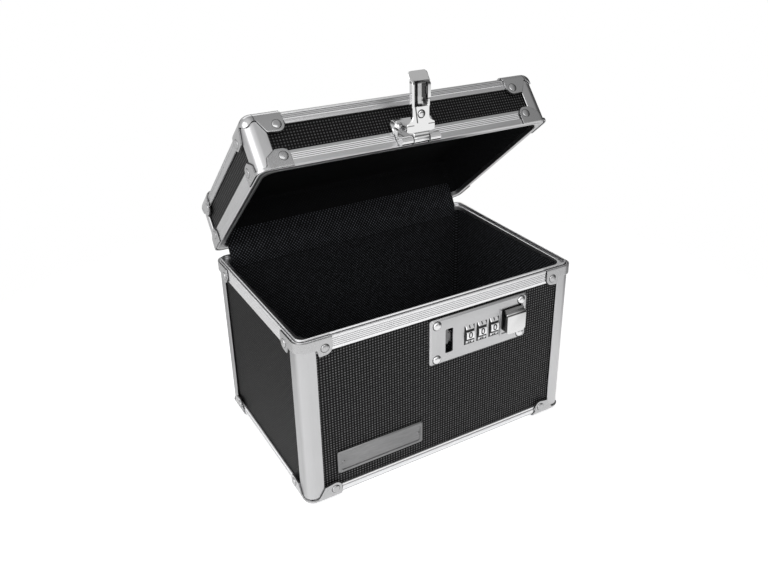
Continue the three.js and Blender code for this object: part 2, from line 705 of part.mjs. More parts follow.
// Case behind the plate: open tray with two dividers that carry the dials' shaft
function lockCase() {
  let shell = box(CASE_LEFT, CASE_RIGHT, BEHIND_PLATE_Y, CASE_BACK_Y, CASE_BOTTOM, CASE_TOP);
  shell = shell.subtract(box(CASE_LEFT + WALL, CASE_RIGHT - WALL, BEHIND_PLATE_Y - 1, CASE_BACK_Y - WALL,
    CASE_BOTTOM + WALL, CASE_TOP - WALL));
  const dividers = [DIVIDER_LEFT, DIVIDER_RIGHT].map((x) => (
    box(x, x + WALL, BEHIND_PLATE_Y + DIVIDER_SETBACK, CASE_BACK_Y - WALL / 2,
      CASE_BOTTOM + WALL / 2, CASE_TOP - WALL / 2)));
  const shaft = tubeX(DIAL_Y, DIAL_Z, SHAFT_RADIUS, DIVIDER_LEFT + WALL / 2, DIVIDER_RIGHT + WALL / 2,
    ROUND_STEPS);
  return join([shell, ...dividers, shaft]);
}

function dial(index) {
  const middle = DIAL_FIRST + index * DIAL_PITCH;
  const sector = 2 * Math.PI / DIAL_NUMBERS;
  const notchHalf = sector * DIAL_NOTCH_SHARE;
  const outline = [];
  for (let i = 0; i < DIAL_NUMBERS; i += 1) {
    const start = (i + 1 / 2) * sector;
    outline.push([DIAL_Y + (DIAL_RADIUS - DIAL_NOTCH) * Math.cos(start),
      DIAL_Z + (DIAL_RADIUS - DIAL_NOTCH) * Math.sin(start)]);
    outline.push(...arc(DIAL_Y, DIAL_Z, DIAL_RADIUS, start + notchHalf, start + sector - notchHalf,
      DIAL_ARC_STEPS));
  }
  return prismX(outline, middle - DIAL_WIDTH / 2, middle + DIAL_WIDTH / 2,
    [circle(DIAL_Y, DIAL_Z, DIAL_BORE, ROUND_STEPS)]);
}

// Release button: flat face, bevelled lower corners, sloping stepped top, square stem behind
function releaseButton() {
  const rear = PLATE_Y + RECESS_DEPTH - CLEAR;
  const front = PLATE_Y - BUTTON_PROUD;
  const rise = (BUTTON_TOP - BUTTON_FLAT_TOP) / (BUTTON_STEPS + 1);
  const profile = [[rear, BUTTON_BOTTOM], [front + BUTTON_EDGE, BUTTON_BOTTOM],
    [front, BUTTON_BOTTOM + BUTTON_EDGE], [front, BUTTON_FLAT_TOP]];
  let y = front;
  for (let i = 1; i <= BUTTON_STEPS; i += 1) {
    const z = BUTTON_FLAT_TOP + i * rise;
    y += BUTTON_STEP_BACK;
    profile.push([y, z - BUTTON_STEP_OUT / 2], [y - BUTTON_STEP_OUT, z]);
  }
  profile.push([y + BUTTON_STEP_BACK / 2, BUTTON_TOP], [rear, BUTTON_TOP]);
  const face = [
    [BUTTON_LEFT + BUTTON_CHAMFER, BUTTON_BOTTOM], [BUTTON_RIGHT - BUTTON_CHAMFER, BUTTON_BOTTOM],
    [BUTTON_RIGHT, BUTTON_BOTTOM + BUTTON_CHAMFER], [BUTTON_RIGHT, BUTTON_TOP - BUTTON_EDGE],
    [BUTTON_RIGHT - BUTTON_EDGE, BUTTON_TOP], [BUTTON_LEFT + BUTTON_EDGE, BUTTON_TOP],
    [BUTTON_LEFT, BUTTON_TOP - BUTTON_EDGE], [BUTTON_LEFT, BUTTON_BOTTOM + BUTTON_CHAMFER],
  ];
  const body = prismX(profile, BUTTON_LEFT, BUTTON_RIGHT).intersect(prismY(face, front - 1, rear + 1));
  return body.add(box(STEM_LEFT, STEM_LEFT + STEM_WIDTH, rear - WALL, PLATE_Y + STEM_END,
    STEM_BOTTOM, STEM_BOTTOM + STEM_HEIGHT));
}

// Latch slide: bar above the dials, hook with its nose at the slot, tab round the stem
function latchSlide() {
  const hook = [
    [SLIDE_LEFT, SLIDE_TOP], [SLIDE_RIGHT, SLIDE_TOP], [SLIDE_RIGHT, TAB_BOTTOM],
    [TAB_LEFT, TAB_BOTTOM], [TAB_LEFT, SLIDE_BOTTOM], [HOOK_RIGHT, SLIDE_BOTTOM],
    [HOOK_RIGHT, NOSE_TOP], [NOSE_TIP - NOSE_TAPER, NOSE_TOP], [NOSE_TIP, NOSE_TOP - NOSE_TAPER],
    [NOSE_TIP, NOSE_BOTTOM + NOSE_TAPER], [NOSE_TIP - NOSE_TAPER, NOSE_BOTTOM],
    [HOOK_RIGHT, NOSE_BOTTOM], [HOOK_RIGHT, HOOK_BOTTOM], [SLIDE_LEFT, HOOK_BOTTOM],
  ];
  const hole = box(STEM_LEFT - CLEAR, STEM_LEFT + STEM_WIDTH + CLEAR, BEHIND_PLATE_Y - 1, SLIDE_BACK_Y + 1,
    STEM_BOTTOM - CLEAR, STEM_BOTTOM + STEM_HEIGHT + CLEAR);
  return prismY(hook, BEHIND_PLATE_Y, SLIDE_BACK_Y).subtract(hole);
}

// Coil of round wire along X between the divider and the stem
function releaseSpring() {
  const x0 = DIVIDER_RIGHT + WALL + CLEAR + SPRING_WIRE;
  const x1 = STEM_LEFT - CLEAR - SPRING_WIRE;
  const y = PLATE_Y + SPRING_BEHIND;
  const z = STEM_BOTTOM + STEM_HEIGHT / 2;
  const mean = SPRING_RADIUS - SPRING_WIRE;
  const rings = [];
  for (let i = 0; i <= SPRING_STEPS; i += 1) {
    const angle = 2 * Math.PI * SPRING_COILS * i / SPRING_STEPS;
    const x = x0 + (x1 - x0) * i / SPRING_STEPS;
    rings.push(circle(0, 0, SPRING_WIRE, SPRING_SIDES).map(([out, along]) => [
      x + along, y + (mean + out) * Math.cos(angle), z + (mean + out) * Math.sin(angle)]));
  }
  return band(rings, false);
}

function nameplate() {
  const sides = [NAME_LEFT, NAME_RIGHT, NAME_BOTTOM, NAME_TOP];
  const front = PLATE_REAR_Y - NAME_RISE;
  const plate = tray(...sides, NAME_CORNER, PLATE_REAR_Y, front, NAME_BEVEL, 0);
  const border = NAME_BORDER + NAME_BEVEL;
  const field = roundedRect(NAME_LEFT + border, NAME_RIGHT - border, NAME_BOTTOM + border,
    NAME_TOP - border, NAME_CORNER);
  const middle = (NAME_BOTTOM + NAME_TOP) / 2;
  const pins = [NAME_LEFT + NAME_PIN_EDGE, NAME_RIGHT - NAME_PIN_EDGE].map((x) => (
    domeFacing(x, front + NAME_FIELD, middle, FORWARD, NAME_PIN_RADIUS, NAME_PIN_RISE)));
  return join([plate.subtract(prismY(field, front - 1, front + NAME_FIELD)), ...pins]);
}

// Hinge leaves: flat sheet, every second knuckle each, notched round the other's knuckles
function hingeLeaf(isLid) {
  const pitch = HINGE_LENGTH / KNUCKLES;
  const z0 = isLid ? HINGE_Z : HINGE_Z - HINGE_LEAF_DROP;
  const z1 = isLid ? HINGE_Z + HINGE_LEAF_RISE : HINGE_Z;
  let leaf = box(-HINGE_LENGTH / 2, HINGE_LENGTH / 2, LEAF_Y, LEAF_Y + WALL, z0, z1);
  const own = [];
  for (let i = 0; i < KNUCKLES; i += 1) {
    const x0 = -HINGE_LENGTH / 2 + i * pitch;
    const mine = (i % 2 === 1) === isLid;
    if (mine) {
      own.push(tubeX(HINGE_Y, HINGE_Z, KNUCKLE_RADIUS, x0 + KNUCKLE_GAP / 2, x0 + pitch - KNUCKLE_GAP / 2,
        ROUND_STEPS));
    } else {
      const reach = KNUCKLE_RADIUS + KNUCKLE_GAP;
      leaf = leaf.subtract(box(x0 - KNUCKLE_GAP / 2, x0 + pitch + KNUCKLE_GAP / 2, LEAF_Y - 1,
        LEAF_Y + WALL + 1, HINGE_Z - reach, HINGE_Z + reach));
    }
  }
  let whole = join([leaf, ...own]);
  if (isLid) {
    whole = whole.subtract(tubeX(HINGE_Y, HINGE_Z, HINGE_BORE, -HALF_W, HALF_W, ROUND_STEPS));
  } else {
    whole = whole.add(tubeX(HINGE_Y, HINGE_Z, HINGE_PIN, -HINGE_LENGTH / 2 + KNUCKLE_GAP,
      HINGE_LENGTH / 2 - KNUCKLE_GAP, ROUND_STEPS));
  }
  const rivetZ = isLid ? z1 - HINGE_RIVET_EDGE : z0 + HINGE_RIVET_EDGE;
  const spread = HINGE_LENGTH / HINGE_RIVETS;
  const rivets = [];
  for (let i = 0; i < HINGE_RIVETS; i += 1) {
    rivets.push(domeFacing((i + 1 / 2) * spread - HINGE_LENGTH / 2, LEAF_Y + WALL, rivetZ, BACKWARD,
      HINGE_RIVET_RADIUS, HINGE_RIVET_RISE));
  }
  return join([whole, ...rivets]);
}

// Fabric strip from the body's lining over both rims to the lid's lining, lid open
function hingeFlap() {
  const y = HALF_D - LINING_BACK - CLEAR;
  const turned = (py, pz) => {
    const [ry, rz] = [py - HINGE_Y, pz - HINGE_Z];
    const [c, s] = [Math.cos(OPEN_AT_REST), Math.sin(OPEN_AT_REST)];
    return [HINGE_Y + ry * c + rz * s, HINGE_Z - ry * s + rz * c];
  };
  const lidFoot = LID_Z + RIM_LIP_DROP;
  const line = [[y, SHOULDER_Z - FLAP_ON_BODY], [y, SHOULDER_Z + FLAP_LEAVES]];
  const back = [turned(y, lidFoot - FLAP_LEAVES), turned(y, lidFoot + FLAP_ON_LID)];
  const inner = [[y - FLAP_THICK, SHOULDER_Z - FLAP_ON_BODY], [y - FLAP_THICK, SHOULDER_Z + FLAP_LEAVES]];
  const innerBack = [turned(y - FLAP_THICK, lidFoot - FLAP_LEAVES),
    turned(y - FLAP_THICK, lidFoot + FLAP_ON_LID)];
  const outline = [...line, ...back, ...innerBack.reverse(), ...inner.reverse()];
  return prismX(outline, -FLAP_WIDTH / 2, FLAP_WIDTH / 2);
}

// Hasp base: riveted wing above, two knuckles with the pin below
function haspBase() {
  const rear = -HALF_D - CLEAR;
  const outline = [
    [HASP_X - BASE_HALF, HASP_Z], [HASP_X - HASP_KNUCKLE_HALF - KNUCKLE_GAP, HASP_Z],
    [HASP_X - HASP_KNUCKLE_HALF - KNUCKLE_GAP, HASP_Z + BASE_CUT_UP],
    [HASP_X + HASP_KNUCKLE_HALF + KNUCKLE_GAP, HASP_Z + BASE_CUT_UP],
    [HASP_X + HASP_KNUCKLE_HALF + KNUCKLE_GAP, HASP_Z], [HASP_X + BASE_HALF, HASP_Z],
    [HASP_X + BASE_HALF, HASP_Z + WING_LOW - WING_CHAMFER], [HASP_X + WING_HALF, HASP_Z + WING_LOW],
    [HASP_X + WING_HALF, HASP_Z + WING_HIGH - WING_CHAMFER],
    [HASP_X + WING_HALF - WING_CHAMFER, HASP_Z + WING_HIGH],
    [HASP_X - WING_HALF + WING_CHAMFER, HASP_Z + WING_HIGH],
    [HASP_X - WING_HALF, HASP_Z + WING_HIGH - WING_CHAMFER], [HASP_X - WING_HALF, HASP_Z + WING_LOW],
    [HASP_X - BASE_HALF, HASP_Z + WING_LOW - WING_CHAMFER],
  ];
  const plate = prismY(outline, rear - WALL, rear);
  const inner = HASP_KNUCKLE_HALF + KNUCKLE_GAP;
  const knuckles = [[-BASE_HALF, -inner], [inner, BASE_HALF]].map(([a, b]) => (
    tubeX(HASP_Y, HASP_Z, HASP_KNUCKLE, HASP_X + a, HASP_X + b, ROUND_STEPS)));
  const pin = tubeX(HASP_Y, HASP_Z, HASP_PIN_RADIUS, HASP_X - BASE_HALF + 1, HASP_X + BASE_HALF - 1,
    ROUND_STEPS);
  const rivets = [-BASE_RIVET_HALF, BASE_RIVET_HALF].map((x) => (
    domeFacing(HASP_X + x, rear - WALL, HASP_Z + BASE_RIVET_UP, FORWARD, RIVET_RADIUS, RIVET_RISE)));
  return join([plate, ...knuckles, pin, ...rivets]);
}

// Hasp arm, hanging: knuckle, shoulders, neck with boss, flanged channel, finger tab, staple
function haspArm() {
  const halves = [
    [HASP_KNUCKLE_HALF, 0], [HASP_KNUCKLE_HALF, ARM_KNUCKLE_END],
    [SHOULDER_HALF - SHOULDER_CHAMFER, ARM_SHOULDER - SHOULDER_CHAMFER / 2],
    [SHOULDER_HALF, ARM_SHOULDER + SHOULDER_CHAMFER],
    [SHOULDER_HALF, ARM_SHOULDER_END - SHOULDER_CHAMFER],
    [SHOULDER_HALF - SHOULDER_CHAMFER, ARM_SHOULDER_END],
    [NECK_HALF, ARM_NECK], [CHANNEL_HALF, ARM_CHANNEL], [CHANNEL_HALF, ARM_CHANNEL_END - 1],
    [TAB_HALF, ARM_CHANNEL_END],
    ...arc(TAB_HALF - TAB_CORNER, ARM_END - TAB_CORNER, TAB_CORNER, 0, Math.PI / 2, ARC_STEPS),
  ];
  const outline = [
    ...halves.map(([half, down]) => [HASP_X + half, HASP_Z - down]),
    ...halves.reverse().map(([half, down]) => [HASP_X - half, HASP_Z - down]),
  ];
  const web = prismY(outline, ARM_FRONT_Y, ARM_BACK_Y);
  const knuckle = tubeX(HASP_Y, HASP_Z, HASP_KNUCKLE, HASP_X - HASP_KNUCKLE_HALF,
    HASP_X + HASP_KNUCKLE_HALF, ROUND_STEPS);
  const bore = tubeX(HASP_Y, HASP_Z, HASP_BORE, HASP_X - BASE_HALF, HASP_X + BASE_HALF, ROUND_STEPS);
  const flangeProfile = [
    [ARM_FRONT_Y, HASP_Z - ARM_CHANNEL], [ARM_FRONT_Y + FLANGE_DEEP, HASP_Z - ARM_CHANNEL - FLANGE_NOSE],
    [ARM_FRONT_Y + FLANGE_DEEP, HASP_Z - ARM_CHANNEL_END + FLANGE_NOSE],
    [ARM_FRONT_Y, HASP_Z - ARM_CHANNEL_END],
  ];
  const flanges = [HASP_X - CHANNEL_HALF, HASP_X + CHANNEL_HALF - ARM_THICK].map((x) => (
    prismX(flangeProfile, x, x + ARM_THICK)));
  const boss = domeFacing(HASP_X, ARM_FRONT_Y, HASP_Z - BOSS_AT, FORWARD, BOSS_RADIUS, BOSS_RISE);
  const stapleEnd = ARM_FRONT_Y + STAPLE_DEEP;
  const staple = box(STAPLE_LEFT, STAPLE_LEFT + STAPLE_THICK, ARM_BACK_Y - ARM_THICK / 2, stapleEnd,
    HASP_Z - STAPLE_END, HASP_Z - STAPLE_START);
  const eye = box(STAPLE_LEFT - 1, STAPLE_LEFT + STAPLE_THICK + 1, BEHIND_PLATE_Y - EYE_FRONT,
    SLIDE_BACK_Y + EYE_BACK, NOSE_BOTTOM - EYE_CLEAR, NOSE_TOP + EYE_CLEAR);
  return join([web.add(knuckle).subtract(bore), ...flanges, boss, staple.subtract(eye)]);
}

// Turn about an axis along X through (y, z): the lid by its opening, the hasp by its flip
function turnAbout(y, z, angle) {
  return new THREE.Matrix4().makeTranslation(0, y, z)
    .multiply(new THREE.Matrix4().makeRotationX(-angle))
    .multiply(new THREE.Matrix4().makeTranslation(0, -y, -z));
}

const LID_OPEN = turnAbout(HINGE_Y, HINGE_Z, OPEN_AT_REST);
const HASP_UP = turnAbout(HASP_Y, HASP_Z, HASP_FLIPPED);

const lockBox = new THREE.Group();
lockBox.name = 'medication_lock_box';

function addPart(name, solid, look, ...turns) {
  const geometry = geometryOf(solid);
  turns.forEach((turn) => geometry.applyMatrix4(turn));
  const mesh = new THREE.Mesh(geometry, new THREE.MeshStandardMaterial(look));
  mesh.name = name;
  lockBox.add(mesh);
}

const CORNERS = [['front_left', -1, -1], ['front_right', 1, -1], ['rear_left', -1, 1], ['rear_right', 1, 1]];

function addBody() {
  const walls = panels(UNDERSIDE_Z + EDGE_RADIUS, SHOULDER_Z - PANEL_INSET, 0);
  addPart('front_panel', walls.front.subtract(caseHole()), LAMINATE);
  addPart('rear_panel', walls.rear, LAMINATE);
  addPart('left_panel', walls.left, LAMINATE);
  addPart('right_panel', walls.right, LAMINATE);
  addPart('bottom_panel', bottomPanel(walls.end), LAMINATE);
  addPart('body_rim', bodyRim(), ALUMINIUM);
  const edges = edgesAt(UNDERSIDE_Z, 1, EDGE_FACE);
  Object.keys(edges).forEach((side) => addPart(`${side}_base_edge`, edges[side], ALUMINIUM));
  const cap = cornerCap(FOOT_CAP);
  const brace = rimBrace(BODY_BRACE);
  CORNERS.forEach(([name, sx, sy]) => {
    addPart(`${name}_post`, bodyPost(sx, sy), ALUMINIUM);
    addPart(`${name}_bottom_corner`, atCorner(cap, sx, sy, UNDERSIDE_Z, 1), STEEL);
    addPart(`${name}_rim_corner`, atCorner(brace, sx, sy, SHOULDER_Z, -1), STEEL);
  });
  const lining = liningShell(PANEL + CLEAR, SHOULDER_Z - RIM_LIP_DROP - CLEAR, true);
  addPart('body_lining', lining.subtract(caseHole()), CLOTH);
}

function addLock() {
  addPart('lock_plate', lockPlate(), SATIN);
  addPart('lock_case', lockCase(), CASE_BLACK);
  for (let i = 0; i < DIAL_COUNT; i += 1) addPart(`dial_${i + 1}`, dial(i), SATIN);
  addPart('release_button', releaseButton(), CHROME);
  addPart('latch_slide', latchSlide(), STEEL);
  addPart('release_spring', releaseSpring(), STEEL);
  addPart('nameplate', nameplate(), SATIN);
}

function addLid() {
  const walls = panels(LID_Z + PANEL_INSET, LID_TOP_Z - EDGE_RADIUS, LID_TOP_Z - PANEL_BACK);
  addPart('lid_front_panel', walls.front, LAMINATE, LID_OPEN);
  addPart('lid_rear_panel', walls.rear, LAMINATE, LID_OPEN);
  addPart('lid_left_panel', walls.left, LAMINATE, LID_OPEN);
  addPart('lid_right_panel', walls.right, LAMINATE, LID_OPEN);
  addPart('lid_top_panel', walls.end, LAMINATE, LID_OPEN);
  addPart('lid_rim', lidRim(), ALUMINIUM, LID_OPEN);
  const edges = edgesAt(LID_TOP_Z, -1, LID_EDGE_FACE);
  Object.keys(edges).forEach((side) => addPart(`lid_${side}_top_edge`, edges[side], ALUMINIUM, LID_OPEN));
  const cap = cornerCap(TOP_CAP);
  const brace = rimBrace(LID_BRACE);
  CORNERS.forEach(([name, sx, sy]) => {
    addPart(`lid_${name}_post`, lidPost(sx, sy), ALUMINIUM, LID_OPEN);
    addPart(`lid_${name}_top_corner`, atCorner(cap, sx, sy, LID_TOP_Z, -1), STEEL, LID_OPEN);
    addPart(`lid_${name}_rim_corner`, atCorner(brace, sx, sy, LID_Z, 1), STEEL, LID_OPEN);
  });
  const lining = liningShell(LID_Z + RIM_LIP_DROP + CLEAR, LID_TOP_Z - LINING_INSET, false);
  addPart('lid_lining', lining, CLOTH, LID_OPEN);
}

function addHinges() {
  addPart('hinge_body_leaf', hingeLeaf(false), ALUMINIUM);
  addPart('hinge_lid_leaf', hingeLeaf(true), ALUMINIUM, LID_OPEN);
  addPart('hinge_flap', hingeFlap(), CLOTH);
  addPart('hasp_base', haspBase(), CHROME, LID_OPEN);
  addPart('hasp_arm', haspArm(), CHROME, HASP_UP, LID_OPEN);
}

addBody();
addLock();
addLid();
addHinges();

export default lockBox;
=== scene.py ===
import math
import bmesh
import bpy
import numpy as np
from mathutils import Matrix, Vector


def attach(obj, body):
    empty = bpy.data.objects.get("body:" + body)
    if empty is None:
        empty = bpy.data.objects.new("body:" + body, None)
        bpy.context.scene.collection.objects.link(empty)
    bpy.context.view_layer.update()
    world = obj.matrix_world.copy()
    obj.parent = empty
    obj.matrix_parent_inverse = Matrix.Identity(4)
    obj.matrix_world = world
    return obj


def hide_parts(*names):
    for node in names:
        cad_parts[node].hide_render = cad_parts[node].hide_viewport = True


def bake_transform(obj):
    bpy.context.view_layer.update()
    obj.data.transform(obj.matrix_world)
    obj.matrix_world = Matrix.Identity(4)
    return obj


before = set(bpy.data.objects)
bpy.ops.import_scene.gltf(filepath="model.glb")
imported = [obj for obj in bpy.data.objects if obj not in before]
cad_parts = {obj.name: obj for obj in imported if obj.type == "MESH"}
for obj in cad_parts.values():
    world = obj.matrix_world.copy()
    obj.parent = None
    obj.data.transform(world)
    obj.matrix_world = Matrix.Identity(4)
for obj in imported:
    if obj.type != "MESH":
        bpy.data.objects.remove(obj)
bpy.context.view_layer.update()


# Camera: fitted to the photograph's straight edges. It stands a little above the box and to its
# left; the shifts put the middle of the picture where the photograph has it.
EYE = Vector((-0.251222, -0.440405, 0.362342))
HEADING, DIP, ROLL = 0.548645, 0.442874, 0.001787
LENS, SENSOR = 37.0774, 36
SHIFT_X, SHIFT_Y = -0.039375, -0.037712
NEAREST = 0.01

scene = bpy.context.scene


def placed(name, data):
    """A new object in the scene that holds this data."""
    made = bpy.data.objects.new(name, data)
    scene.collection.objects.link(made)
    return made


ahead = Vector((math.sin(HEADING) * math.cos(DIP), math.cos(HEADING) * math.cos(DIP), -math.sin(DIP)))
across = ahead.cross(Vector((0, 0, 1))).normalized()
above = across.cross(ahead)
rolled = Matrix.Rotation(ROLL, 3, ahead)
across, above = rolled @ across, rolled @ above
camera = placed("camera", bpy.data.cameras.new("camera"))
camera.matrix_world = Matrix.Translation(EYE) @ Matrix((across, above, -ahead)).transposed().to_4x4()
camera.data.sensor_width = SENSOR
camera.data.lens = LENS
camera.data.shift_x, camera.data.shift_y = SHIFT_X, SHIFT_Y
camera.data.clip_start = NEAREST
scene.camera = camera
scene.view_settings.view_transform = "Standard"


# Lights: three soft boxes, all turned to the lower middle of the box. The key stands high on the
# left, a weaker one in front and above, and one at the back.
LIT_POINT = Vector((0, 0, 0.1))


def softbox(name, place, size, watts):
    """Rectangular area light, turned to the lit point."""
    light = bpy.data.lights.new(name, "AREA")
    light.shape = "RECTANGLE"
    light.size, light.size_y = size
    light.energy = watts
    holder = placed(name, light)
    holder.location = place
    holder.rotation_euler = (LIT_POINT - Vector(place)).to_track_quat("-Z", "Y").to_euler()


softbox("key_light", (-1.25, -0.35, 0.65), (1.7, 1.2), 10)
softbox("fill_light", (0.05, -1.3, 1.35), (0.8, 0.8), 3.2)
softbox("back_light", (0.1, 1.1, 1.1), (1.4, 0.6), 3)


# Corner posts: extruded aluminium angle strips, round outside, that close each standing corner of
# body and lid. They are glued over the panels' ends and held by the pressed corners.
CORNERS = (("front_left", -1, -1), ("front_right", 1, -1), ("rear_left", -1, 1), ("rear_right", 1, 1))
HALF_W, HALF_D = 104.8, 69.85  # half the box over its strips, in millimetres
UNDERSIDE, LID_TOP = -1.5, 159.4  # heights of the shut box
CORNER, WALL = 6.3, 1.2  # outer radius of a standing corner; strip's wall
FLANGE, FLANGE_SOFT = 12.0, 0.3
POST_FOOT, BODY_POST_TOP, LID_POST_TOP = 4.5, 120.6, 34.7
OPEN = math.radians(40.5)  # the lid stands open by this in the photograph
HINGE_Y, HINGE_Z = 73.55, 121.2
MM = 0.001


def feed(node, inputs):
    """Sets a node's sockets by name or number: a link from a wire, or else a plain value."""
    for key, value in inputs.items():
        if isinstance(value, Wire):
            node.id_data.links.new(value.socket, node.inputs[key])
        else:
            node.inputs[key].default_value = value


class Wire:
    """The output of a shader node. Plus, minus and times on it add the Math nodes for them."""

    def __init__(self, socket):
        self.socket = socket

    def node(self, kind, inputs, output=0, **settings):
        """A node of that type: its settings first, then its sockets."""
        made = self.socket.id_data.nodes.new(kind)
        for key, setting in settings.items():
            setattr(made, key, setting)
        feed(made, inputs)
        return Wire(made.outputs[output])

    def maths(self, operation, *others):
        return self.node("ShaderNodeMath", dict(enumerate((self, *others))), operation=operation)

    def __add__(self, other):
        return self.maths("ADD", other)

    __radd__ = __add__

    def __mul__(self, other):
        return self.maths("MULTIPLY", other)

    __rmul__ = __mul__

    def __sub__(self, other):
        return self.maths("SUBTRACT", other)

    def __rsub__(self, other):
        return self.maths("MULTIPLY", -1.0).maths("ADD", other)

    def __abs__(self):
        return self.maths("ABSOLUTE")

    def cosine(self):
        return self.maths("COSINE")

    def between(self, low, high, start, end):
        """Start up to low, end from high on, and a straight ramp between them."""
        return self.node("ShaderNodeMapRange", dict(enumerate((self, low, high, start, end))))

    def axes(self):
        split = self.node("ShaderNodeSeparateXYZ", {0: self})
        return [Wire(socket) for socket in split.socket.node.outputs]

    def noise(self, scale, detail=2.0, stretch=(1, 1, 1)):
        """Noise of about scale waves per millimetre, drawn out along axes whose stretch is small."""
        mapped = self.node("ShaderNodeMapping", {"Vector": self, "Scale": stretch})
        return self.node("ShaderNodeTexNoise", {"Vector": mapped, "Scale": scale, "Detail": detail})

    def grey(self, tint=(1, 1, 1)):
        """The tint's colour times this brightness."""
        return self.node("ShaderNodeVectorMath", {0: tint, "Scale": self}, operation="SCALE")


def new_look(name, lid=False):
    """A material, its shader, and the place on the shut box in millimetres.

    The lid's pieces stand open, so their place is turned shut about the hinge: R p + (h - R h),
    where R turns by the opening angle about x and h is the hinge's place.
    """
    look = bpy.data.materials.new(name)
    look.use_nodes = True
    shader = look.node_tree.nodes["Principled BSDF"]
    start = Wire(shader.outputs[0])  # any wire of a tree can add nodes to it
    inputs = {"Vector": start.node("ShaderNodeTexCoord", {}, "Object"), "Scale": [1 / MM] * 3}
    if lid:
        cosine, sine = math.cos(OPEN), math.sin(OPEN)
        inputs["Rotation"] = (OPEN, 0, 0)
        inputs["Location"] = (0, HINGE_Y - HINGE_Y * cosine + HINGE_Z * sine,
                              HINGE_Z - HINGE_Y * sine - HINGE_Z * cosine)
    return look, shader, start.node("ShaderNodeMapping", inputs, vector_type="POINT")


def satin(name, bright, rough, stretch, grain, lid=False, uneven=0.04, marks=None):
    """Satin metal: brightness = bright + uneven (grain - 1/2) + uneven (cloud - 1/2).

    The grain is fine noise drawn out along the part; it also changes the roughness by a tenth.
    The cloud is a slow change of tone. Marks is a function of the brightness and the place.
    """
    look, shader, place = new_look(name, lid)
    fine, cloud = place.noise(grain, stretch=stretch), place.noise(0.05)
    amount = bright + uneven * (fine - 0.5) + uneven * (cloud - 0.5)
    if marks:
        amount = marks(amount, *place.axes())
    feed(shader, {"Metallic": 1.0, "Base Color": amount.grey((1.0, 1.0, 1.01)),
                  "Roughness": rough + 0.10 * (fine - 0.5)})
    return look


def dull_left_side(amount, x, y, z):
    """Painted shade: the posts of the body are darker on the face that looks to the left."""
    return amount * x.between(-104.75, -103.6, 0.78, 1.0)


ALONG_Z = (1, 1, 0.02)
# the body's posts get painted shade on their left faces
post_finish = {"body": satin("aluminium_body_z", 0.56, 0.32, ALONG_Z, 3.0, marks=dull_left_side),
               "lid": satin("aluminium_lid_z", 0.60, 0.32, ALONG_Z, 3.0, lid=True)}


def loft(rows, closed_rows=False, ends=True):
    """Skin over rows of points, each a closed outline: one quad per side of each outline.

    The last row joins the first if the rows are closed; otherwise both ends get a flat face.
    """
    rows = np.asarray(rows, float)
    index = np.arange(rows.shape[0] * rows.shape[1]).reshape(rows.shape[:2])
    here, following = (index, np.roll(index, -1, axis=0)) if closed_rows else (index[:-1], index[1:])
    quads = np.stack([here, np.roll(here, -1, axis=1), np.roll(following, -1, axis=1), following], -1)
    caps = [index[0][::-1], index[-1]] if ends and not closed_rows else []
    return rows.reshape(-1, 3), quads.reshape(-1, 4), caps


def opened(points):
    """The lid from shut to open: turned about the hinge's axis by the opening angle."""
    y, z = points[:, 1] - HINGE_Y, points[:, 2] - HINGE_Z
    cosine, sine = math.cos(OPEN), math.sin(OPEN)
    return np.stack([points[:, 0], HINGE_Y + y * cosine + z * sine,
                     HINGE_Z - y * sine + z * cosine], -1)


def finished(mesh, name, look, body, slot, nodes, sharp=35, thick=0.0, bevel=0.0):
    """Smooth between faces that meet at less than the sharp angle; wall and rounding if asked."""
    mesh.materials.clear()
    mesh.materials.append(look)
    mesh.shade_smooth()
    mesh.set_sharp_from_angle(angle=math.radians(sharp))
    made = placed(name, mesh)
    if thick:
        wall = made.modifiers.new("thickness", "SOLIDIFY")
        wall.thickness = thick * MM
        wall.offset = -1
    if bevel:
        rounding = made.modifiers.new("rounding", "BEVEL")
        rounding.width = bevel * MM
        rounding.segments = 3
        rounding.limit_method = "ANGLE"
        rounding.angle_limit = math.radians(sharp)
        rounding.harden_normals = False
    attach(made, body)
    if nodes:
        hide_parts(*nodes)


def piece(name, parts, look, body, slot, nodes=(), outward=True, **finish):
    """One mesh from parts (points of the shut box in millimetres, quads, end faces)."""
    first = np.cumsum([0] + [len(part[0]) for part in parts])
    points = np.concatenate([part[0] for part in parts])
    faces = [face for (_, quads, caps), start in zip(parts, first)
             for face in (quads + start).tolist() + [(cap + start).tolist() for cap in caps]]
    if body in ("lid", "hasp"):
        points = opened(points)
    mesh = bpy.data.meshes.new(name)
    mesh.from_pydata((points / 1000).tolist(), [], faces)
    work = bmesh.new()
    work.from_mesh(mesh)
    bmesh.ops.remove_doubles(work, verts=work.verts, dist=1e-6)
    bmesh.ops.dissolve_degenerate(work, edges=work.edges, dist=1e-7)
    if outward:
        bmesh.ops.recalc_face_normals(work, faces=work.faces)
    work.to_mesh(mesh)
    work.free()
    finished(mesh, name, look, body, slot, nodes, **finish)


def at_corner(part, sx, sy, z, up):
    """A part drawn by its insets from two outer faces and its height, put at one corner."""
    points, quads, caps = part
    a, b, height = points.T
    return np.stack([sx * (HALF_W - a), sy * (HALF_D - b), z + up * height], -1), quads, caps


def quarter(middle, radius, start, end, steps):
    """Arc about (middle, middle): middle + radius (cos t, sin t), with t from start to end."""
    turn = np.linspace(start, end, steps + 1)
    return np.stack([middle + radius * np.cos(turn), middle + radius * np.sin(turn)], -1)


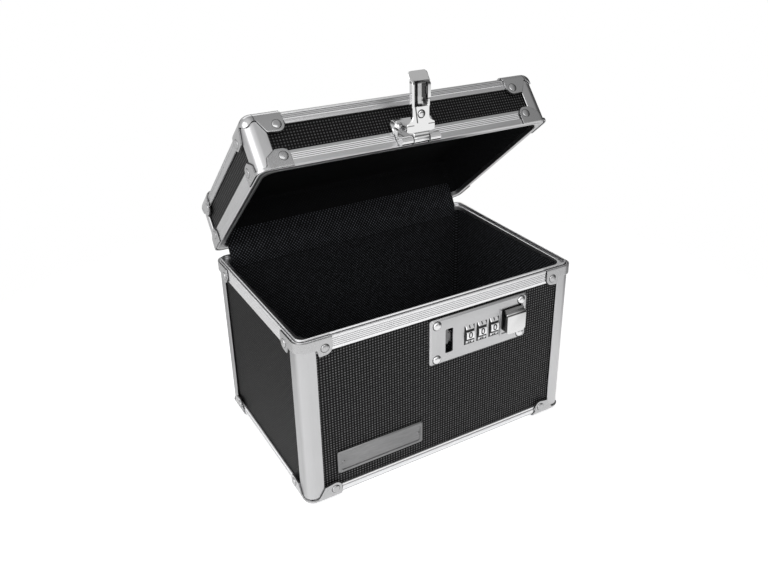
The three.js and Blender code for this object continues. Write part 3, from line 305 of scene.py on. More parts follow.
def post(foot, top):
    """Angle strip: its outline carried straight up from foot to top.

    The outline is the outer quarter circle, one flange's end, the inner quarter circle, and the
    other flange's end, which is the first one mirrored in the diagonal.
    """
    outer = quarter(CORNER, CORNER, -math.pi / 2, -math.pi, 16)
    inner = quarter(CORNER, CORNER - WALL, -math.pi, -math.pi / 2, 12)
    end = np.array([(0, FLANGE - FLANGE_SOFT), (FLANGE_SOFT, FLANGE),
                    (WALL - FLANGE_SOFT, FLANGE), (WALL, FLANGE - FLANGE_SOFT)])
    outline = np.concatenate([outer, end, inner, end[::-1, ::-1]])
    return loft([np.column_stack([outline, np.full(len(outline), z)]) for z in (foot, top)])


for corner, sx, sy in CORNERS:
    piece(f"{corner}_post_visual", [at_corner(post(POST_FOOT, BODY_POST_TOP), sx, sy, UNDERSIDE, 1)],
          post_finish["body"], "body", "extruded_aluminium", [f"{corner}_post"], bevel=0.25)
    piece(f"lid_{corner}_post_visual", [at_corner(post(POST_FOOT, LID_POST_TOP), sx, sy, LID_TOP, -1)],
          post_finish["lid"], "lid", "extruded_aluminium", [f"lid_{corner}_post"], bevel=0.12)


# Rims: extruded aluminium strips bent round the opening, with a band of fine ribs outside. The
# body's has a standing tongue in a groove, and the lid's has a rounded lip that comes down on it.
SIDES = ("front", "rear", "left", "right")
SHOULDER, LID_LIP = 120.6, 123.2  # heights of the two rims' meeting faces
RIM_DEPTH = 4.6  # how far the rims reach inwards
INNER_CORNER = 8.0  # radius of the opening's corners
GROOVE_FLOOR = 0.08  # half the flat floor of a groove between ribs
STRIP_END = 12.3  # a rim's ribbed wall starts this far from a corner
ALONG_X = (0.02, 1, 1)


def ribbed(middle, pitch, half, strength, lid=False):
    """Painted light and shade for ribs: brightness times 1 - strength cos(2 pi (z - middle) / pitch) in the
    band.

    The band reaches half its width to both sides of the middle; on the lid it ends at the posts.
    """
    def marks(amount, x, y, z):
        from_middle = z - middle
        wave = (from_middle * (2 * math.pi / pitch)).cosine()
        inside = abs(from_middle).between(half - 0.2, half, 1.0, 0.0)
        if lid:
            inside = inside * abs(x).between(103.5, 104.0, 1.0, 0.0)
        return (amount * (1.0 - strength * wave * inside)).maths("MINIMUM", 0.98)
    return marks


def case_black():
    """Black plastic, and painted shade where it stands for a gap that no light reaches: faint flecks on near
    black.
    """
    look, shader, place = new_look("case_black")
    feed(shader, {"Base Color": (0.008 + 0.004 * place.noise(1.2)).grey(), "Roughness": 0.5})
    return look


black = case_black()
# both rims get painted light and shade along their ribs
rim_finish = {
    "body_rim": satin("aluminium_body_rim", 0.88, 0.30, ALONG_X, 3.0, marks=ribbed(115.7, 1.3, 3.25, 0.3)),
    "lid_rim": satin("aluminium_lid_rim", 0.62, 0.30, ALONG_X, 3.0, lid=True,
                     marks=ribbed(129.46, 1.16, 2.32, 0.65, lid=True))}


def fillet(points, radius, steps=3):
    """Closed outline with its corners rounded.

    A corner gives way to the parabola (1 - t)^2 start + 2 t (1 - t) corner + t^2 end. It starts
    and ends at radius / tan(half the angle between the sides) from the corner, at most 0.45 of a
    side. Corners of more than 165 degrees stay as they are.
    """
    points = np.asarray(points, float)
    back, forth = np.roll(points, 1, axis=0) - points, np.roll(points, -1, axis=0) - points
    reach_back = np.linalg.norm(back, axis=1, keepdims=True)
    reach_forth = np.linalg.norm(forth, axis=1, keepdims=True)
    back, forth = back / reach_back, forth / reach_forth
    angle = np.arccos(np.clip((back * forth).sum(1, keepdims=True), -1, 1))
    cut = np.minimum(radius / np.tan(angle / 2), 0.45 * np.minimum(reach_back, reach_forth))
    start, corner, end = (points + back * cut)[:, None], points[:, None], (points + forth * cut)[:, None]
    t = np.linspace(0, 1, steps + 1)[:, None]
    arcs = (1 - t) ** 2 * start + 2 * t * (1 - t) * corner + t ** 2 * end
    straight = angle[:, 0] > math.radians(165)
    arcs[straight] = corner[straight]
    return arcs[~straight[:, None] | (np.arange(steps + 1) == 0)]


def groove_band(start, end, count, pitch, shift, half, deep):
    """Outline (inset, height) of count grooves a pitch apart, centred with a shift between two
    heights; each goes in by its depth from half its width to its narrow floor."""
    sign = math.copysign(1, end - start)
    at = (start + end) / 2 + shift + sign * pitch * (np.arange(count) - (count - 1) / 2)
    height = at[:, None] + sign * np.array((-half, -GROOVE_FLOOR, GROOVE_FLOOR, half))
    return np.column_stack([np.tile((0, deep, deep, 0), count), height.ravel()])


def corner_run(steps):
    """Turn angles for a run round all four corners, with each corner's side in x and in y."""
    turn = np.concatenate([np.linspace(k, k + 1, steps + 1) for k in range(4)])[:, None] * math.pi / 2
    sides = np.repeat([(1, 1), (-1, 1), (-1, -1), (1, -1)], steps + 1, axis=0)
    return turn, sides[:, :1], sides[:, 1:]


def ring(profile, z, steps=12):
    """Profile (inset, height) carried round the box: place = corner's middle + radius (cos, sin).

    The radius shrinks with the inset from the outer corner's, but never below the inner corner's
    share of it.
    """
    inset, up = np.asarray(profile, float).T
    radius = np.maximum(CORNER - inset, INNER_CORNER * inset / RIM_DEPTH)
    turn, sx, sy = corner_run(steps)
    return loft(np.stack([sx * (HALF_W - inset - radius) + radius * np.cos(turn),
                          sy * (HALF_D - inset - radius) + radius * np.sin(turn),
                          z + up + 0 * turn], -1), closed_rows=True)


def side_strip(profile, side, z, up, starts):
    """Profile (inset, height) drawn straight along one side, each point from its own start inset."""
    inset, height = np.asarray(profile, float).T
    sign = -1 if side in ("front", "left") else 1
    ends = np.array([(-1,), (1,)])
    if side in ("front", "rear"):
        x, y = ends * (HALF_W - starts), sign * (HALF_D - inset) + 0 * ends
    else:
        x, y = sign * (HALF_W - inset) + 0 * ends, ends * (HALF_D - starts)
    return loft(np.stack([x, y, z + up * height + 0 * ends], -1))


def wall_profile(face, *grooves):
    """Ribbed wall below the rim's web, one wall thick and rounded at its free edge."""
    return [(0.0, WALL + 0.1), *groove_band(0.0, face, *grooves), (0.0, face - 0.35), (0.1, face - 0.1),
            (0.35, face), (WALL, face), (WALL, WALL + 0.1)]


# outlines (inset, height) of the two webs; the first goes shoulder, groove, tongue, inner edge
tongue = fillet([(1.2, -0.5), (1.2, 1.7), (2.3, 1.7), (2.3, 0)], 0.35)
body_ring = [(0, -1.35), (0, -0.3), (0.09, -0.09), (0.3, 0), (0.85, 0), (0.9, -0.5), (1.15, -0.5), *tongue,
             (2.4, 0), (4.4, 0), (4.56, -0.06), (4.6, -0.2), (4.6, -3.0), (4.0, -3.0), (4.0, -1.2),
             (1.2, -1.2), (1.2, -1.35)]
lip = fillet([(3.0, 0), (3.0, -0.15), (4.3, -0.15), (4.3, 0)], 0.06)
lid_ring = [(0, 1.35), (0, 1.0), (0.08, 0.6), (0.29, 0.29), (0.6, 0.08), (1.0, 0), *lip,
            (4.45, 0.02), (4.6, 0.2), (4.6, 3.0), (4.0, 3.0), (4.0, 1.2), (1.2, 1.2), (1.2, 1.35)]
# wall's height; its grooves: count, pitch, shift, half width, depth
for name, body, z, up, face, grooves, profile in (
        ("body_rim", "body", SHOULDER, -1, 9.8, (5, 1.3, 0.0, 0.42, 0.45), body_ring),
        ("lid_rim", "lid", LID_LIP, 1, 10.2, (4, 1.16, 0.87, 0.56, 0.36), lid_ring)):
    wall = wall_profile(face, *grooves)
    walls = [side_strip(wall, side, z, up, np.full(len(wall), STRIP_END)) for side in SIDES]
    piece(f"{name}_visual", [ring(profile, z), *walls], rim_finish[name], body,
          "extruded_aluminium", [name], sharp=28)
# painted shade: a black strip along the tongue's foot stands for the shadow in the groove there
groove_shade = [(0.8, -0.6), (0.8, 0.03), (1.25, 0.45), (1.45, 0.45), (1.45, -0.6)]
piece("body_rim_groove_shade", [ring(groove_shade, SHOULDER)], black, "body", "case_plastic")


# Edge strips: extruded aluminium along the bottom of the body and the top of the lid, one leg on
# the side and one under or over the board, round between them. The lid's are ribbed on the side.
EDGE = 5.2  # outer radius between the two legs
LEG, LEG_SOFT = 12.0, 0.3
GROOVE_HALF = 0.56
ABOVE_BEND = 4.2  # side leg's height from which it stops at the posts


def base_lines(amount, x, y, z):
    """Painted shade in the two grooves: brightness falls to 0.35 at their heights."""
    for level in (5.4, 1.5):
        amount = amount * abs(z - level).between(0.15, 0.5, 0.35, 1.0)
    return amount


def top_ribs(amount, x, y, z):
    """The ribs' painted light and shade, and painted shade that halves the brightness on the round edge above
    them.
    """
    amount = ribbed(154.78, 1.16, 2.32, 0.55, lid=True)(amount, x, y, z)
    return amount * z.between(156.6, 158.6, 1.0, 0.5)


# the base edge's grooves carry painted shade
base_finish = satin("aluminium_base_edge", 0.84, 0.32, ALONG_X, 3.0, marks=base_lines)
# the lid's top edge gets painted light and shade on its ribs and painted shade on its round edge
top_finish = satin("aluminium_lid_top", 0.66, 0.30, ALONG_X, 3.0, lid=True, marks=top_ribs)
top_side_finish = satin("aluminium_lid_y", 0.58, 0.34, (1, 0.02, 1), 3.0, lid=True)


def edge_profile(face, deep, soft, grooves):
    """Outline (inset, height). A length of strip s, from the end of the flat leg, lies at
    EDGE - (EDGE - depth) (sin t, cos t) with t = s / EDGE round the bend, and straight up past it;
    each groove is given by the length at its middle."""
    bend = EDGE * math.pi / 2
    cuts = np.array(grooves)[:, None] + np.array((-GROOVE_HALF, -GROOVE_FLOOR, GROOVE_FLOOR, GROOVE_HALF))
    length = np.concatenate([np.arange(13) * bend / 12, cuts.ravel(), [bend + face - EDGE - soft]])
    depth = np.concatenate([np.zeros(13), np.tile((0, deep, deep, 0), len(grooves)), [0]])
    order = np.lexsort((depth, length))[::-1]
    length, depth = length[order], depth[order]
    turn = np.minimum(length, bend) / EDGE
    outer = np.column_stack([EDGE - (EDGE - depth) * np.sin(turn),
                             EDGE - (EDGE - depth) * np.cos(turn) + np.maximum(length - bend, 0)])
    inner = quarter(EDGE, EDGE - WALL, -math.pi / 2, -math.pi, 10)
    return np.array([(soft, face), (0.3 * soft, face - 0.3 * soft), *outer, (LEG - LEG_SOFT, 0),
                     (LEG, LEG_SOFT), (LEG, WALL), *inner, (WALL, face)])


# side leg's height, grooves' depth, softness of the free edge, lengths at the grooves' middles;
# then the finish at front and rear, and the one at left and right
for name, body, z, up, face, deep, soft, grooves, finishes in (
        ("base", "body", UNDERSIDE, 1, 8.9, 0.5, 0.35, (9.9, 5.9), (base_finish, base_finish)),
        ("top", "lid", LID_TOP, -1, 9.5, 0.36, 0.8, (9.6, 8.45, 7.3, 6.15),
         (top_finish, top_side_finish))):
    profile = edge_profile(face, deep, soft, grooves)
    starts = np.maximum(profile[:, 0] + 0.2, EDGE)
    starts = np.where((profile[:, 1] > ABOVE_BEND) & (profile[:, 0] < EDGE), STRIP_END, starts)
    prefix = "lid_" if body == "lid" else ""
    for side in SIDES:
        piece(f"{prefix}{side}_{name}_edge_visual", [side_strip(profile, side, z, up, starts)],
              finishes[side in ("left", "right")], body, "extruded_aluminium",
              [f"{prefix}{side}_{name}_edge"], sharp=28)


# Corner caps and rim braces: bright sheet steel pressed round each corner, with two lobes that a
# dome rivet each holds to the boards. A black skin under each sheet, a little wider than it, is
# painted shade that draws a thin dark line where the sheet sits on the strips.
SHELL = 1.2  # how far the sheet's outside stands off the strips
SHADE_SKIN = 0.22  # and how far the black skin of painted shade does
SHADE_SKIN_SHOWS = 0.45  # the shade skin is wider than the sheet by this
SOLE = 14.0  # radius of the cap's flat sole
# each rivet sits in a wider flat black ring of painted shade
RIVET_RADIUS, SHADE_RING_RADIUS, SHADE_RING_RISE = 2.7, 3.0, 0.1
RIVET_RISE = {"body": 1.0, "lid": 0.5}
# rivet's place along the side and up; lobe's radius; the sheet's free edge from the corner on
PRESSED = {
    "top_cap": dict(rivet=(18.9, 9.3), lobe=4.6,
                    edge=[(0, 7.8), (2.0, 7.4), (5.2, 5.2), (7.4, 4.9), (11.9, 13.4)]),
    "foot_cap": dict(rivet=(19.3, 7.9), lobe=4.7, edge=[(0, 3.4), (7.6, 3.6), (12.5, 11.4)]),
    "body_brace": dict(rivet=(17.4, 6.6), lobe=4.9, edge=[(0, 6.8), (12.3, 7.0), (13.2, 11.9)]),
    "lid_brace": dict(rivet=(16.6, 7.0), lobe=4.6, edge=[(0, 1.7), (5.3, 1.7), (5.8, 6.8), (12.4, 11.6)]),
}


def creased(amount, x, y, z):
    """Painted shade: two dark crease lines bound the flat corner of the lid's caps, at |x| = 98.3 and |y| =
    63.3.
    """
    for part, at in ((x, 98.3), (y, 63.3)):
        amount = amount * abs(abs(part) - at).between(0.12, 0.45, 0.25, 1.0)
    return amount


EVEN = (1, 1, 1)
steel = {half: satin(f"steel_{half}", 0.50, 0.26, EVEN, 0.6, lid=half == "lid", uneven=0.02)
         for half in ("body", "lid")}
# the lid's caps get painted shade along their creases
cap_steel = satin("steel_lid_cap", 0.52, 0.20, EVEN, 0.6, lid=True, uneven=0.02, marks=creased)


def patch(grid):
    """Skin over an open grid of points."""
    grid = np.asarray(grid, float)
    index = np.arange(grid.shape[0] * grid.shape[1]).reshape(grid.shape[:2])
    quads = np.stack([index[:-1, :-1], index[:-1, 1:], index[1:, 1:], index[1:, :-1]], -1)
    return grid.reshape(-1, 3), quads.reshape(-1, 4), []


def free_edge(kind):
    """Distance along the side and the sheet's height there, from the corner to the lobe's end.

    The lobe is a quarter circle about the rivet, and the rest has corners of 1.1 mm.
    """
    along, up = kind["rivet"]
    turn = np.linspace(math.pi / 2, 0, 13)
    lobe = np.stack([along + kind["lobe"] * np.cos(turn), up + kind["lobe"] * np.sin(turn)], -1)
    line = np.array([*kind["edge"], *lobe])
    smooth = fillet(np.concatenate([line, [(line[-1][0], 0), (0, 0)]]), 1.1, 4)
    smooth = smooth[smooth[:, 1] > 0.6]
    return smooth[np.argsort(smooth[:, 0], kind="stable")].T


def stations(kind, out):
    """Plan path from the left lobe's end round the corner to the front lobe's end.

    Gives insets a and b from the two outer faces, the unit way inwards, and the sheet's height.
    """
    along, height = free_edge(kind)
    reach = kind["rivet"][0] + kind["lobe"]
    s = np.unique(np.round(np.concatenate([along, np.linspace(CORNER, reach, 16)]), 3))
    s = s[(s >= CORNER) & (s <= reach)]
    turn = np.linspace(0, math.pi / 2, 13)[1:-1]
    flat, radius = np.full(len(s), -out), CORNER + out
    a = np.concatenate([flat, CORNER - radius * np.cos(turn), s])
    b = np.concatenate([s[::-1], CORNER - radius * np.sin(turn), flat])
    inward_a = np.concatenate([np.ones(len(s)), np.cos(turn), np.zeros(len(s))])
    inward_b = np.concatenate([np.zeros(len(s)), np.sin(turn), np.ones(len(s))])
    top = np.interp(np.maximum(np.maximum(a, b), 0), along, height)
    return [part[:, None] for part in (a, b, inward_a, inward_b, top)]


def cap(kind, out):
    """Outer skin of a cap: flat sole, quarter-round edge and side, up to the free edge.

    Each station's column goes in by inset and up by height: the sole at inset radius + flat s,
    the bend at radius (1 - sin t) and EDGE - radius cos t, and the side straight up from there.
    """
    a, b, inward_a, inward_b, top = stations(kind, out)
    radius, at = EDGE + out, np.maximum(a, b)
    flat = np.maximum(0, np.minimum(at, np.sqrt(np.maximum(SOLE ** 2 - at ** 2, 0))) - EDGE)
    flat = np.where((inward_a == 0) | (inward_b == 0), flat, 0)
    bend = np.where(top < EDGE, np.arccos(np.clip((EDGE - top) / radius, -1, 1)), math.pi / 2)
    turn = bend * np.linspace(0, 1, 11)[1:]
    side = np.linspace(0, 1, 7)[1:]
    inset = np.hstack([radius + flat * np.linspace(1, 0, 5), radius * (1 - np.sin(turn)),
                       radius * (1 - np.sin(bend)) + 0 * side])
    height = np.hstack([-out + 0 * flat * np.linspace(1, 0, 5), EDGE - radius * np.cos(turn),
                        EDGE - radius * np.cos(bend) + np.maximum(top - EDGE, 0) * side])
    return patch(np.dstack([a + inward_a * inset, b + inward_b * inset, height]))


def brace(kind, out):
    """Outer skin of a brace: straight up from the rim to the free edge at every station."""
    a, b, _, _, top = stations(kind, out)
    up = np.linspace(0, 1, 9)
    return patch(np.dstack([a + 0 * up, b + 0 * up, top * up]))


def dome(centre, direction, radius, rise, turns=20, rings=5):
    """Rivet head: a straight foot, then a cap with out = radius cos t, up = rise (0.12 + 0.88 sin t)."""
    direction = Vector(direction).normalized()
    side = direction.orthogonal().normalized()
    turn = np.linspace(0, 2 * math.pi, turns, endpoint=False)
    circle = np.outer(np.cos(turn), side) + np.outer(np.sin(turn), direction.cross(side))
    tilt = np.arange(1, rings + 1) / rings * math.pi / 2
    out = np.concatenate([[radius, radius], radius * np.maximum(np.cos(tilt), 0.02)])
    up = np.concatenate([[-0.4, 0.12 * rise], rise * (0.12 + 0.88 * np.sin(tilt))])
    return loft(np.array(centre) + circle * out[:, None, None] + np.array(direction) * up[:, None, None])


rings, shade_skins = {"body": [], "lid": []}, {"body": [], "lid": []}


def pressed(name, kind_name, skin, sx, sy, z, up, look, body):
    """A sheet with its two rivets; its black skin and the black rings round the rivets, both painted shade,
    are kept for later.
    """
    kind = PRESSED[kind_name]
    wider = dict(rivet=kind["rivet"], lobe=kind["lobe"] + SHADE_SKIN_SHOWS,
                 edge=[(s, height + SHADE_SKIN_SHOWS) for s, height in kind["edge"]])
    sheet, shade_skin = (at_corner(skin(*outline), sx, sy, z, up) for outline in ((kind, SHELL), (wider, SHADE_SKIN)))
    if sx * sy * up > 0:
        sheet, shade_skin = ((points, quads[:, ::-1], caps) for points, quads, caps in (sheet, shade_skin))
    piece(f"{name}_visual", [sheet], look, body, "corner_steel", [name], thick=0.9, bevel=0.28, outward=False)
    shade_skins[body].append(shade_skin)
    along, height = kind["rivet"]
    heads = []
    for place, direction in (((along, -SHELL, height), (0, sy, 0)), ((-SHELL, along, height), (sx, 0, 0))):
        centre = at_corner((np.array([place]), None, None), sx, sy, z, up)[0][0]
        heads.append(dome(centre, direction, RIVET_RADIUS, RIVET_RISE[body]))
        rings[body].append(dome(centre, direction, SHADE_RING_RADIUS, SHADE_RING_RISE))
    piece(f"{name}_rivets", heads, look, body, "corner_steel")


for corner, sx, sy in CORNERS:
    pressed(f"{corner}_bottom_corner", "foot_cap", cap, sx, sy, UNDERSIDE, 1, steel["body"], "body")
    pressed(f"{corner}_rim_corner", "body_brace", brace, sx, sy, SHOULDER, -1, steel["body"], "body")
    pressed(f"lid_{corner}_top_corner", "top_cap", cap, sx, sy, LID_TOP, -1, cap_steel, "lid")
    pressed(f"lid_{corner}_rim_corner", "lid_brace", brace, sx, sy, LID_LIP, 1, steel["lid"], "lid")
# the black skins and rivet rings of all the sheets, painted shade, one piece per half
for kind, parts, outward in (("painted_shade_skins", shade_skins, False), ("rivet_shade_rings", rings, True)):
    for body in parts:
        piece(f"{body}_{kind}", parts[body], black, body, "case_plastic", outward=outward)


# Panels: boards with a black plastic laminate on them that is printed and pressed like cloth.
# They are slid into the strips, and their own solids are right, so they only get a finish.
STITCH_WIDE, STITCH_HIGH = 2.0, 1.93


def lattice(a, b):
    """(1 + cos a) / 2 times (1 + cos b) / 2: dots where both angles are whole turns."""
    return (0.5 + 0.5 * a.cosine()) * (0.5 + 0.5 * b.cosine())


def relief(height, strength):
    """Normal of a bump 0.25 mm deep."""
    inputs = {"Height": height, "Distance": 0.25 * MM, "Strength": strength}
    return height.node("ShaderNodeBump", inputs, "Normal")


def laminate(name, u, v, lid, pale):
    """Square grid of raised pale stitches, uneven in print, on a ground with faint columns.

    Brightness = pale (0.003 + 0.24 dot^2 (0.2 + 1.6 noise) + 0.006 column), where u and v are
    the numbers of the two axes that the face lies in.
    """
    look, shader, place = new_look(name, lid)
    parts = place.axes()
    a, b = parts[u] * (2 * math.pi / STITCH_WIDE), parts[v] * (2 * math.pi / STITCH_HIGH)
    dot, column = lattice(a, b), 0.5 + 0.5 * a.cosine()
    amount = 0.003 + 0.24 * dot * dot * (0.2 + 1.6 * place.noise(0.35, 3.0)) + 0.006 * column
    feed(shader, {"Base Color": (pale * amount).grey((1, 1, 1.02)), "Roughness": 0.55,
                  "Specular IOR Level": 0.1, "Normal": relief(dot, 0.7)})
    return look


# half of the box, face, the face's two axes, how pale its stitches are (lower on the body's sides and the
# lid's walls as painted shade), its panels
for body, face, u, v, pale, panels in (
        ("body", "front", 0, 2, 1.0, ("front_panel", "rear_panel")),
        ("body", "side", 1, 2, 0.16, ("left_panel", "right_panel")),
        ("body", "flat", 0, 1, 1.0, ("bottom_panel",)),
        ("lid", "front", 0, 2, 0.45, ("lid_front_panel", "lid_rear_panel")),
        ("lid", "side", 1, 2, 0.5, ("lid_left_panel", "lid_right_panel")),
        ("lid", "flat", 0, 1, 1.0, ("lid_top_panel",))):
    look = laminate(f"laminate_{body}_{face}", u, v, body == "lid", pale)
    for panel in panels:
        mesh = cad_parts[panel].data
        mesh.materials.clear()
        mesh.materials.append(look)


# Linings: black woven cloth glued round the inside of the body and of the lid, round in the
# corners and at the bottom, with its edge under the rim.
LINING_INSET, LINING_CORNER, LINING_ROUND, CLOTH = 5.0, 4.0, 3.0, 0.9
THREADS = 0.4  # threads per millimetre along both diagonals


def cloth(name, lid, pale, lean):
    """Dots on a diagonal lattice: cos of 2 pi THREADS (z + x + lean y) and of (z - x - lean y).

    On the floor or roof the second one's lean is turned over, so that the dots stay dots there.
    Brightness = 0.003 + pale dot^2 noise.
    """
    look, shader, place = new_look(name, lid)
    x, y, z = place.axes()
    turned_over = z.between(6.0, 6.5, -1.0, 1.0)
    dot = lattice((z + x + y * lean) * (THREADS * 2 * math.pi),
                  (z - x - y * lean * turned_over) * (THREADS * 2 * math.pi))
    amount = 0.003 + pale * dot * dot * place.noise(0.25, 3.0)
    feed(shader, {"Base Color": amount.grey((0.94, 1.0, 1.14)), "Roughness": 0.85,
                  "Specular IOR Level": 0.15, "Normal": relief(dot, 0.6)})
    return look


def lining(z_open, z_closed):
    """Walls round the plan from the open edge to the floor or roof, with a quarter round of
    radius LINING_ROUND between: out = corner - round (1 - cos t), up to the floor by (1 - sin t)."""
    turn, sx, sy = corner_run(8)
    t = np.linspace(0, math.pi / 2, 6)[1:]
    inwards = math.copysign(LINING_ROUND, z_closed - z_open)
    out = np.concatenate([[LINING_CORNER] * 2, LINING_CORNER - LINING_ROUND * (1 - np.cos(t))])
    level = np.concatenate([[z_open, z_closed - inwards], z_closed - inwards * (1 - np.sin(t))])
    x = sx * (HALF_W - LINING_INSET - LINING_CORNER) + np.cos(turn) * out
    y = sy * (HALF_D - LINING_INSET - LINING_CORNER) + np.sin(turn) * out
    points, quads, _ = loft(np.stack([x.T, y.T, (level + 0 * turn).T], -1), ends=False)
    return points, quads, [np.arange(len(points) - len(turn), len(points))]


# half of the box, heights of the lining's open edge and closed end, how pale its dots are (almost none in the
# lid, as painted shade)
for half, z_open, z_closed, pale in (("body", 117.3, 3.5, 0.18), ("lid", 126.5, 154.4, 0.02)):
    piece(f"{half}_lining_visual", [lining(z_open, z_closed)],
          cloth(f"cloth_{half}", half == "lid", pale, 1.0), half, "lining_cloth", [f"{half}_lining"],
          thick=-CLOTH)


# Lock plate, lock case and nameplate: the plate and the nameplate are cast zinc with a satin
# plating, riveted and pinned to the front board; the case behind the plate is black plastic.
def softened(node):
    """A copy of a solid's mesh with its flat faces whole, so that its edges can be rounded."""
    work = bmesh.new()
    work.from_mesh(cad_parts[node].data)
    bmesh.ops.remove_doubles(work, verts=work.verts, dist=2e-6)
    bmesh.ops.dissolve_limit(work, angle_limit=math.radians(0.6), verts=work.verts, edges=work.edges)
    mesh = bpy.data.meshes.new(node + "_visual")
    work.to_mesh(mesh)
    work.free()
    return mesh


def worked(node, look, body, slot, bevel):
    """The solid again with its sharp edges rounded, as on a pressed or cast part."""
    finished(softened(node), node + "_visual", look, body, slot, [node], sharp=32, bevel=bevel)


worked("lock_plate", satin("satin_zinc", 0.56, 0.38, (0.1, 1, 1), 3.0), "body", "satin_zinc", 0.25)
worked("lock_case", black, "body", "case_plastic", 0.25)
worked("nameplate", satin("nameplate_zinc", 0.25, 0.34, (0.1, 1, 1), 2.0, uneven=0.10), "body",
       "satin_zinc", 0.2)


# Release: a chromed button on a steel slide that carries the catch, pushed back by a coil spring
# in the case. The button's chrome carries painted reflections: dark and bright bands on its top,
# and painted shade on its left side and at its root.
def button_chrome():
    """Chrome with painted reflections, by height: face 0.72, dark line 0.10, bright line 0.84, then
    grey 0.32 to the top; painted shade at the root, where the button sinks into its recess, and on
    the left side."""
    look, shader, place = new_look("button_chrome")
    x, depth, z = place.axes()
    bands = (z.between(97.6, 97.8, 0.72, 0.10) + z.between(98.1, 98.3, 0.0, 0.74)
             - z.between(98.8, 99.1, 0.0, 0.52))
    root, left = depth.between(-72.9, -72.3, 1.0, 0.06), x.between(45.3, 45.8, 0.15, 1.0)
    amount = (bands + 0.02 * place.noise(0.3)) * root * left
    feed(shader, {"Metallic": 1.0, "Base Color": amount.grey(), "Roughness": 0.12})
    return look


worked("release_button", button_chrome(), "release", "bright_chrome", 0.9)
worked("latch_slide", satin("slide_steel", 0.17, 0.40, EVEN, 1.0), "release", "mechanism_steel", 0.15)

# the spring: in the lock its left end stays in the case and its right end goes with the slide; here it is a
# plain copy of its solid, attached to neither
mesh = softened("release_spring")
mesh.materials.clear()
mesh.materials.append(satin("mechanism_steel", 0.45, 0.35, EVEN, 1.0))
mesh.shade_smooth()
spring = placed("release_spring_visual", mesh)
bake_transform(spring)
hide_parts("release_spring")


# Hinge leaves: two aluminium strips with rolled knuckles on a pin, riveted to the rear strips of
# body and lid.
for half in ("body", "lid"):
    leaf_finish = satin(f"aluminium_{half}_x", 0.62, 0.34, ALONG_X, 3.0, lid=half == "lid")
    worked(f"hinge_{half}_leaf", leaf_finish, half, "extruded_aluminium", 0.2)


# Hasp base: chromed sheet steel with a knuckle rolled at each end for the pin, riveted to the
# lid's front.
bright_chrome = satin("bright_chrome", 0.78, 0.08, EVEN, 0.3, uneven=0.01)
worked("hasp_base", bright_chrome, "lid", "bright_chrome", 0.25)


# Dials: three cast drums that turn on one shaft, black between ten pale number plates each that
# stand proud. The figures are painted on the plates, plain 0 to 9, with 0 in front.
DIAL_Y, DIAL_Z, DIAL_R = -61.65, 90.9, 11.6  # the shaft's place; radius over the plates
FIRST_DIAL, DIAL_PITCH = 17.35, 10.05
PLATE_SPAN = 0.76  # share of a tenth of a turn that a plate fills
PAINT = 0.04  # a figure's height over its plate
FIGURE_SIZE, FIGURE_BOLD = 6.6, 0.12
DRUM = ((-3.7, 10.4), (-3.5, 10.9), (3.5, 10.9), (3.7, 10.4))  # along the shaft, radius
PLATE = np.array([(-2.9, 10.7), (-2.9, 11.3), (-2.6, 11.6), (3.0, 11.6), (3.3, 11.3), (3.3, 10.7)])
# where a plate's cross sections stand, as shares of half its span, and how far they drop
PLATE_BENDS = np.array([-1, -0.93, -0.5, 0, 0.5, 0.93, 1])[:, None]
PLATE_DROPS = np.array([0.3, 0, 0, 0, 0, 0, 0.3])[:, None]
pale_face = satin("dial_face", 0.95, 0.45, EVEN, 1.0, uneven=0.02)


def around(x, angle, radius):
    """Points on a drum: radius (cos, sin) about the shaft, with the angle up from the front."""
    return np.stack([x, DIAL_Y - radius * np.cos(angle), DIAL_Z + radius * np.sin(angle)], -1)


def figure_outline(figure):
    """Flat mesh of one figure in millimetres, cut into strips so that it can bend."""
    curve = bpy.data.curves.new("figure", "FONT")
    curve.body = str(figure)
    curve.size = FIGURE_SIZE
    curve.align_x, curve.align_y = "CENTER", "CENTER"
    curve.offset = FIGURE_BOLD
    holder = placed("figure", curve)
    mesh = bpy.data.meshes.new_from_object(holder.evaluated_get(bpy.context.evaluated_depsgraph_get()))
    bpy.data.objects.remove(holder)
    work = bmesh.new()
    work.from_mesh(mesh)
    for level in np.linspace(-2.4, 2.4, 9):
        bmesh.ops.bisect_plane(work, geom=[*work.verts, *work.edges, *work.faces],
                               plane_co=(0, level, 0), plane_no=(0, 1, 0))
    work.to_mesh(mesh)
    work.free()
    points = np.empty(len(mesh.vertices) * 3)
    mesh.vertices.foreach_get("co", points)
    return points.reshape(-1, 3), [np.array(face.vertices) for face in mesh.polygons]


NO_QUADS = np.empty((0, 4), int)
figures = [figure_outline(k) for k in range(10)]
turn = np.linspace(0, 2 * math.pi, 80, endpoint=False)
for i in range(3):
    dial, middle = f"dial_{i + 1}", FIRST_DIAL + DIAL_PITCH * i
    drum = [around(np.full(80, middle + side), turn, radius) for side, radius in DRUM]
    piece(f"{dial}_visual", [loft(drum)], black, dial, "satin_zinc", [dial])
    plates, painted = [], []
    for k, (points, faces) in enumerate(figures):
        centre = k * math.pi / 5
        bends = centre + PLATE_SPAN * math.pi / 10 * PLATE_BENDS
        plates.append(loft(around(middle + PLATE[:, 0] + 0 * bends, bends, PLATE[:, 1] - PLATE_DROPS)))
        painted.append((around(middle + points[:, 0], centre + points[:, 1] / DIAL_R,
                               np.full(len(points), DIAL_R + PAINT)), NO_QUADS, faces))
    piece(f"{dial}_faces", plates, pale_face, dial, "satin_zinc", sharp=25)
    piece(f"{dial}_figures", painted, black, dial, "satin_zinc", outward=False)


